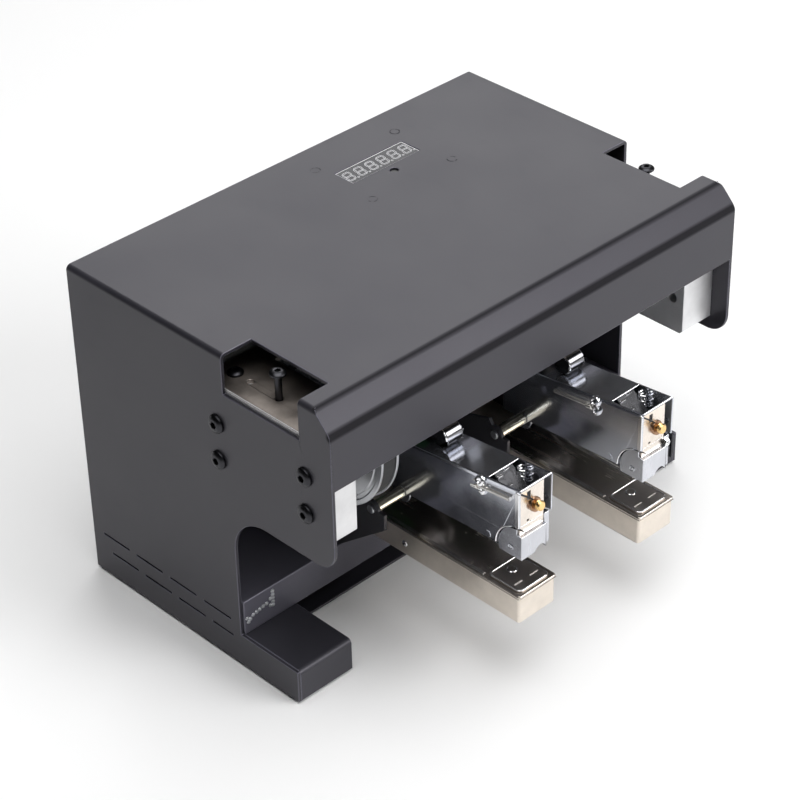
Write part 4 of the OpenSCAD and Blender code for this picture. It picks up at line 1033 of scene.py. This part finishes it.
# Front end, rear end and clip of the rod on each head, as Y from the pivot
ROD_ENDS = {"left": (-83.5, -61, -59.5), "right": (-51, -28, -53.5)}
ROD_R = 1.25
ROD_GAP = 0.05
# How far the rod lies under the cover's top, square to it
ROD_DROP = 5.6
CLIP_LENGTH = 4
# For each lobe, how far it lies behind the clip and under the cover's top, and its radius
LOBES = ((0.6, 2.9, 3.3), (-0.6, 8.3, 2.7))


def dress_rod(side, s):
    """Rod along the cover's edge, in a bent clip with two lobes."""
    rod, wire = side + "_side_rod", LOOKS["rod_steel"]
    front, rear, clip_y = ROD_ENDS[side]

    def along(y):
        turn = Matrix.Rotation(-TOP_SLOPE, 3, "X")
        place = Vector((-COVER_HALF - ROD_R - ROD_GAP, y, COVER_RISE - ROD_DROP))
        return in_head(s, 0, 0, 0) + turn @ place * MM

    swept(side + "_edge_rod", [[along(front), along(rear)]], ROD_R, rod, wire, instead=True)
    clip = bmesh.new()
    direction = (along(rear) - along(front)).normalized()
    place = set_down(along(clip_y - CLIP_LENGTH / 2), direction, "X")
    slab(clip, metres(bow(ROD_R + 0.12, ROD_R + 0.95, 0, 290, 28)), CLIP_LENGTH * MM, place)
    finished(side + "_rod_clip", clip, rod, [wire], 0.2)
    lobes = bmesh.new()
    for behind, fall, size in LOBES:
        place = set_down(in_head(s, -COVER_HALF, clip_y + behind, cover_top(clip_y) - fall), (-1, 0, 0.25))
        profile = [(-0.6, 0), (-0.6, size), (0.9, size), (1.8, size * 0.84), (2.1, size * 0.5),
                   (1.5, size * 0.36), (1.3, 0)]
        turned(lobes, metres(profile), place, 24)
    finished(side + "_clip_lobes", lobes, rod, [TRIM_AND_HIGHLIGHT])


# How far above the nose's face its front goes back behind the plate
FACE_STEP = 0.4
BEAD_R = 0.4
BEAD_OUT = 0.9
WALL_RIVET_Z = 27.2
HOOK = [(-62.6, 7.6), (-64.8, 7.2), (-65.4, 5.2), (-64.0, 3.9)]
HOOK_R = 0.28


def dress_nose(side, s):
    """Nose block, its front moved back behind the plate above the nose's face."""
    solid = copy_of(side + "_nose")
    for height in (NOSE_FACE_TOP, NOSE_FACE_TOP + FACE_STEP):
        whole = list(solid.verts) + list(solid.edges) + list(solid.faces)
        bmesh.ops.bisect_plane(solid, geom=whole, dist=WELD, plane_co=(0, 0, height * MM), plane_no=UP)
    front = min(v.co.y for v in solid.verts)
    for vert in solid.verts:
        if vert.co.z > (NOSE_FACE_TOP + FACE_STEP / 2) * MM and near(vert.co.y, front, 1.2 * MM):
            vert.co.y = in_head(s, 0, PLATE_BACK, 0).y
    stand_in(side + "_nose", solid, 0.3)


def bead_cover(side, s):
    """Bright beads on the cover round the nose's cheeks, their shape the cheeks' rims and their brightness a
    painted highlight, but none where the right head's black cheek lies.
    """
    paths = []
    for cheek in (-1, 1) if side == "left" else (-1,):
        bend = arc(NOSE_R + BEAD_OUT, 2, 70, 24, (NOSE_Y, NOSE_Z))
        paths.append([in_head(s, cheek * COVER_HALF, y, z) for y, z in bend])
    swept(side + "_nose_bead", paths, BEAD_R, side + "_cover", TRIM_AND_HIGHLIGHT)


def rivet_head(side, s):
    """A rivet in each cheek of the nose, one inside the cover's right wall, and a hook on its left wall."""
    nose, cover, chrome = side + "_nose", side + "_cover", LOOKS["cover_chrome"]
    places = [(in_head(s, x * NOSE_HALF, NOSE_Y + 7.2, NOSE_Z + 1.4), (x, 0, 0)) for x in (-1, 1)]
    rivet = ring_rivet(1.9 * MM, 0.35 * MM, 0.7 * MM)
    scattered(side + "_nose_rivets", rivet, places, nose, LOOKS["nose_steel"])
    places = [(in_head(s, COVER_HALF - COVER_SHEET - LEAF_T, PLATE_BACK, WALL_RIVET_Z), (-1, 0, 0))]
    rivet = ring_rivet(1.4 * MM, 0.15 * MM, 0.5 * MM)
    scattered(side + "_wall_rivet", rivet, places, cover, chrome)
    path = [in_head(s, -COVER_HALF, y, z) for y, z in HOOK]
    swept(side + "_pressed_hook", [path], HOOK_R, cover, chrome, 0.8)


PIN_Z = 29.0
PIN_TILT = math.radians(15)
# Heights and radii of the pin's collar
COLLAR = [(0.2, 0), (0.2, 4.0), (1.5, 4.0), (1.9, 3.6), (1.9, 1.95), (0.6, 1.85), (0.5, 0)]
CATCH_WIRE_R = 0.45
CATCH_WIRE = ((0.4 - NOSE_HALF, 0.5, 40.5), (-6.5, 0.5, 37.2), (-1.8, 0.9, 33.2))
CATCH_SPRING_AT = (8.4, -67.5, 28.6)
LUGS = ((-4.6, -64.4, 38.3), (-3.6, -70.0, 35.0), (1.5, -62.9, 39.2))
LUG_FACING = (0, -0.55, 0.83)


def dress_front(side, s):
    """Front plate, its foot brought down to the nose's face, the pin's copper collar, and the wire to it."""
    plate = side + "_front_plate"
    solid = copy_of(plate)
    foot = min(v.co.z for v in solid.verts)
    for vert in solid.verts:
        if near(vert.co.z, foot, 0.6 * MM):
            vert.co.z += (NOSE_FACE_TOP - 0.3) * MM - foot
    stand_in(plate, solid, 0.12)
    collar = bmesh.new()
    out = Vector((0, -math.cos(PIN_TILT), math.sin(PIN_TILT)))
    turned(collar, metres(COLLAR), set_down(in_head(s, 0, PLATE_FRONT, PIN_Z), out))
    finished(side + "_pin_collar", collar, plate, [COPPER])
    wire = [in_head(s, x, PLATE_FRONT - before, z) for x, before, z in CATCH_WIRE]
    swept(side + "_catch_wire", [wire], CATCH_WIRE_R, plate, LOOKS["black_screws"], 2)


def dress_opening(side, s):
    """The catch's spring, and the lugs on the driver, which show in the cover's opening."""
    inputs = {"Turns": 6.0, "Coil Radius": 1.9 * MM, "Height": 10.5 * MM, "Wire Radius": 0.5 * MM,
              "Material": TRIM_AND_HIGHLIGHT}
    points = [in_head(s, *CATCH_SPRING_AT)]
    grown(side + "_catch_spring", points, [], WOUND, inputs, side + "_cover")
    lugs = bmesh.new()
    for place in LUGS:
        slab(lugs, metres(rounded(4.0, 1.1, 0.5)), 1.2 * MM, set_down(in_head(s, *place), LUG_FACING))
    finished(side + "_driver_lugs", lugs, side + "_driver", [TRIM_AND_HIGHLIGHT], 0.15)


CHEEK_Y = -82.2
CHEEK_T = 3.2
# The tab's far side, foot and head, and its thickness
TAB_X, TAB_FOOT, TAB_HEAD, TAB_T = 12.8, 4, 11, 2.3
NUT_AT = (8.2, -85.3, 15.6)


def dress_right_cheek():
    """Black cheek beside the nose, outside the cover's wall, its tab, and a nut, on the right head only."""
    s = SIDES["right"]
    cheek = bmesh.new()
    upright = Matrix.Translation(in_head(s, 0, CHEEK_Y, 0)) @ Matrix.Rotation(math.radians(90), 4, "X")
    outline = arc(7.6, -44, 0, 6, (6.9, 8.4)) + arc(9.6, 5, 38, 6, (4.9, 13.6))
    slab(cheek, metres(outline), CHEEK_T * MM, upright)
    near_x = NOSE_HALF - 0.4
    tab = [(near_x, TAB_FOOT), (TAB_X, TAB_FOOT), (TAB_X, TAB_HEAD), (near_x, TAB_HEAD)]
    slab(cheek, metres(tab), TAB_T * MM, upright)
    finished("right_black_plate", cheek, "right_nose", [LOOKS["black_screws"]], 0.3)
    flats, chamfer = hexagon(2.0 * MM), hexagon(1.7 * MM)
    nut = off_the_lathe([(-1.6 * MM, 0), (-1.6 * MM, flats), (0.6 * MM, flats), (0.9 * MM, chamfer),
                         (0.9 * MM, 1.1 * MM), (0.3 * MM, 1.0 * MM), (0.3 * MM, 0)])
    scattered("right_plate_nut", nut, [(in_head(s, *NUT_AT), (0, -1, 0))], "right_nose", TRIM_AND_HIGHLIGHT)


# Arms: the cap's folded edges and beads, and the arm's rivets
ARM_LOW, ARM_HIGH = corners_of("right_arm_cap")
ARM_HALF = (ARM_HIGH.x - ARM_LOW.x) / 2
ARM_TOP = ARM_HIGH.z
ARM_ROUND = 1.6
# How much the cap's fold is shortened, so that it shows as a narrow band along the arm's upper edge
CAP_FOLD_UP = 4.2
# The cap's beads: how far in from its sides they run, how far back they start, and their radius
CAP_BEAD_INSETS = (1.5, 2.7)
CAP_BEAD_START = 27
CAP_BEAD_R = 0.3
ARM_RIVET_Y = 44.4
ARM_RIVET_DOWN = 10.5


def dress_arm(side, s):
    """Arm and cap with round front corners, the cap's beads along its seam lines, their brightness a painted
    highlight, and a rivet in each side of the arm.
    """
    middle = s * HEAD_X

    def front_corner(a, b, normals):
        upright = near(a.x, b.x) and near(a.y, b.y) and any(n.y < -0.9 for n in normals)
        return upright and abs(abs(a.x - middle * MM) - ARM_HALF * MM) < 0.6 * MM

    for part, edge in (("_arm", 0.4), ("_arm_cap", 0.5)):
        solid = copy_of(side + part)
        if part == "_arm_cap":
            for vert in solid.verts:
                if vert.co.z < (ARM_TOP - 3) * MM:
                    vert.co.z += CAP_FOLD_UP * MM
        round_edges(solid, ARM_ROUND * MM, front_corner)
        stand_in(side + part, solid, edge, manner="plated_")
    low, high = corners_of(side + "_arm_cap")
    paths = []
    for x in [middle + i * (ARM_HALF - inset) for i in (-1, 1) for inset in CAP_BEAD_INSETS]:
        paths.append([at(x, low.y + CAP_BEAD_START, ARM_TOP), at(x, high.y - 1, ARM_TOP)])
    # The beads' bright metal is a painted highlight along the cap's seam lines.
    swept(side + "_cap_beads", paths, CAP_BEAD_R, side + "_arm_cap", TRIM_AND_HIGHLIGHT)
    aside, height = ARM_HALF - 0.5, ARM_TOP - ARM_RIVET_DOWN
    places = [(at(middle + i * aside, ARM_RIVET_Y, height), (i, 0, 0)) for i in (-1, 1)]
    scattered(side + "_arm_rivets", dome_rivet(2.0 * MM, 0.5 * MM), places, side + "_arm", TRIM_AND_HIGHLIGHT)


# Height of the anvil plates' face over the arms, and how far behind their middle the rivet sits
ANVIL_UP = 0.8
ANVIL_RIVET_BACK = 5
ANVIL_RIM_R = 0.35


def dress_anvils():
    """Anvil plates, each with a bright rim, a painted highlight of the plate's rounded edge, and a rivet."""
    dress_plain("anvils", 0.3)
    low, high = corners_of("anvils")
    depth = high.y - low.y
    middle_y = (low.y + high.y) / 2
    anvil_z = ARM_TOP + ANVIL_UP
    places = [(at(s * HEAD_X, middle_y + ANVIL_RIVET_BACK, anvil_z), UP) for s in SIDES.values()]
    rivet = ring_rivet(2.9 * MM, 0.45 * MM, 0.9 * MM)
    scattered("anvil_rivets", rivet, places, "anvils", TRIM_AND_HIGHLIGHT)
    # Each rim is a bright wire on the plate's face: a painted highlight of its rounded edge.
    rims = []
    for s in SIDES.values():
        outline = rounded(depth - 1.2, depth - 1.2, 2.6)
        rim = [at(s * HEAD_X + x, middle_y + y, anvil_z) for x, y in outline]
        rims.append(rim + rim[:1])
    swept("anvil_rims", rims, ANVIL_RIM_R, "anvils", TRIM_AND_HIGHLIGHT)


# Heights and radii of one weld bead
WELD_BEAD = [(-0.5, 0), (-0.5, 1.3), (0.3, 1.2), (0.8, 0.8), (1.0, 0)]


def lay_welds():
    """Weld beads that hold the deck's lip to the feet: an upright run, a level one and its end."""
    lip_y, foot_z = corners_of("deck")[0].y, corners_of("left_foot")[1].z
    spots = [(128, foot_z + 9.0 + 2.3 * i) for i in range(5)] + [(129.8, foot_z + 9.6), (129.6, foot_z + 14)]
    spots += [(132.5 + 2.4 * i, foot_z + 12.2 - 0.5 * i) for i in range(5)]
    spots += [(145.4, foot_z + 7.4), (146.2, foot_z + 10), (144.2, foot_z + 8.6)]
    places = [(at(s * x, lip_y, z), (0, -1, 0)) for s in SIDES.values() for x, z in spots]
    scattered("weld_beads", off_the_lathe(metres(WELD_BEAD), 16), places, "deck", LOOKS["stud_steel"])


STRIP_GROOVE = 0.5
STRIP_MARGIN = 0.35


def lay_edge_strips():
    """Two bright ground bands with a groove between them, along each side of the tie plate."""
    solid = bmesh.new()
    high = (TIE_HIGH.z - TIE_LOW.z - STRIP_GROOVE - 2 * STRIP_MARGIN) / 2
    for s in SIDES.values():
        for lift in (-1, 1):
            z = (TIE_LOW.z + TIE_HIGH.z) / 2 + lift * (high + STRIP_GROOVE) / 2
            middle = at(s * (TIE_HIGH.x - 0.05), (TIE_LOW.y + TIE_HIGH.y) / 2, z)
            outline = metres(rounded(TIE_HIGH.y - TIE_LOW.y - 1, high, 0.25))
            slab(solid, outline, 0.25 * MM, set_down(middle, (s, 0, 0)))
    finished("tie_edge_strips", solid, "tie_plate", [LOOKS["block_aluminium"]], 0.08)


# The space of the inlet's blades: its two ends before the inlet's back, and its half width and height
BLADES_FROM, BLADES_TO = 15.4, 2.9
BLADES_HALF_W, BLADES_HALF_H = 9, 6


def dress_inlet():
    """The inlet's moulded body and its three brass blades."""
    solid = copy_of("power_inlet")
    bmesh.ops.recalc_face_normals(solid, faces=solid.faces)
    back = corners_of("power_inlet")[1].y
    middle_x, middle_z = middle_of("power_inlet")[::2]
    for face in solid.faces:
        centre = face.calc_center_median()
        inside = at(0, back - BLADES_FROM, 0).y < centre.y < at(0, back - BLADES_TO, 0).y
        aside, above = abs(centre.x / MM - middle_x), abs(centre.z / MM - middle_z)
        if inside and aside < BLADES_HALF_W and above < BLADES_HALF_H:
            face.material_index = 1
    mesh = bpy.data.meshes.new("moulded_inlet")
    solid.to_mesh(mesh)
    solid.free()
    wear(mesh, LOOKS[SLOT_OF["power_inlet"]], BRASS_BLADES)
    carry(add_object("moulded_inlet", mesh), "power_inlet", True)


# Width of the soft edge of each node that keeps its shape
EDGES = {
    "back_panel": 0.3, "bottom_cover": 0.3, "left_foot": 0.4, "right_foot": 0.4, "foot_pads": 0.4,
    "left_block": 0.35, "right_block": 0.35, "tie_plate": 0.25, "shaft_bearings": 0.3, "guide_posts": 0.4,
    "motor_bracket": 0.3, "control_board": 0.1, "board_studs": 0.1, "display": 0.1,
    "power_switch": 0.4, "pedal_socket": 0.3, "pivot_pins": 0.4,
    "pivot_spacers": 0.4, "main_shaft": 0.4, "drive_wheel": 0.35, "lift_cams": 0.4, "motor_wheel": 0.3,
    "press_beam": 0.6, "cam_rollers": 0.3, "left_magazine": 0.12, "right_magazine": 0.12,
    "left_driver": 0.12, "right_driver": 0.12, "left_pusher": 0.3, "right_pusher": 0.3, "switch_rocker": 0.4,
    "reset_button": 0.5, "gearmotor": 0.6,
}
# Nodes whose bevelled cut edges take the lighter paint, a painted highlight
HIGHLIGHT_EDGED = ("back_panel", "left_foot", "right_foot")

for name, node in NODES.items():
    wear(node.data, LOOKS[SLOT_OF[name]])
for name, edge in EDGES.items():
    dress_plain(name, edge, *([LOOKS["housing_paint"], EDGE_HIGHLIGHT_PAINT] if name in HIGHLIGHT_EDGED else []))
dress_plain("deck", 0.5, DECK_LIGHTENED_PAINT, EDGE_HIGHLIGHT_PAINT)
# The plungers' bevelled edges are in bright metal: a painted highlight on the dark chrome.
dress_plain("plungers", 0.8, LOOKS["plunger_chrome"], TRIM_AND_HIGHLIGHT)
dress_housing()
set_screws()
wind_springs()
dress_display()
for side, s in SIDES.items():
    dress_bracket(side, s)
    dress_cover(side, s)
    trim_cover(side, s)
    dress_rod(side, s)
    dress_nose(side, s)
    bead_cover(side, s)
    rivet_head(side, s)
    dress_front(side, s)
    dress_opening(side, s)
    dress_plain(side + "_release_pin", 0.3)
    dress_arm(side, s)
dress_right_cheek()
dress_anvils()
lay_welds()
lay_edge_strips()
dress_inlet()

# Floor and light
FLOOR_HALF = 12.0
# Brightness of the walls, on the light side and on the dark side, and where the dark side lies
WALL_LIGHT = 0.55
WALL_DARK = 0.08
DARK_SIDE = (-0.62, 0.65, 0.44)


def lay_floor():
    look = Look("pale_floor", Roughness=0.8)
    cloud = look.noise(0.4, 3)
    look.finish({"Base Color": look.mix(cloud, (0.86, 0.86, 0.86, 1), (0.89, 0.89, 0.89, 1))})
    mesh = bpy.data.meshes.new("studio_floor")
    corners = [(x, y, 0) for x, y in ((-1, -1), (1, -1), (1, 1), (-1, 1))]
    mesh.from_pydata([tuple(FLOOR_HALF * c for c in corner) for corner in corners], [], [(0, 1, 2, 3)])
    wear(mesh, look.material)
    add_object("studio_floor", mesh)


def hang_light(name, place, aim, size, watts):
    data = bpy.data.lights.new(name, "AREA")
    data.shape = "RECTANGLE"
    data.size, data.size_y = size
    data.energy = watts
    light = bpy.data.objects.new(name, data)
    light.location = place
    light.rotation_mode = "QUATERNION"
    light.rotation_quaternion = (Vector(aim) - Vector(place)).to_track_quat("-Z", "Y")
    COLLECTION.objects.link(light)


def light_studio():
    """Pale walls all round, darker to the left and behind, and three large softboxes."""
    world = bpy.data.worlds.new("studio_air")
    world.use_nodes = True
    tree = world.node_tree
    air = tree.nodes["Background"]
    place = tree.nodes.new("ShaderNodeTexCoord")
    turn = tree.nodes.new("ShaderNodeVectorMath")
    turn.operation = "DOT_PRODUCT"
    turn.inputs[1].default_value = DARK_SIDE
    wall = tree.nodes.new("ShaderNodeMapRange")
    wall.inputs["From Min"].default_value = 0.1
    wall.inputs["From Max"].default_value = 0.85
    wall.inputs["To Min"].default_value = WALL_LIGHT
    wall.inputs["To Max"].default_value = WALL_DARK
    tree.links.new(place.outputs["Generated"], turn.inputs[0])
    tree.links.new(turn.outputs["Value"], wall.inputs["Value"])
    tree.links.new(wall.outputs["Result"], air.inputs["Strength"])
    bpy.context.scene.world = world
    hang_light("right_back_softbox", (1.5, 1.5, 1.7), (0, 0, 0.1), (1.8, 1.8), 24)
    hang_light("overhead_softbox", (-0.2, -0.3, 2.3), (0, 0, 0), (2.2, 2.2), 55)
    hang_light("front_softbox", (1.15, -2.1, 1.3), (0, 0, 0.1), (1.8, 1.4), 54)


lay_floor()
light_studio()
bpy.context.scene.view_settings.view_transform = "Standard"
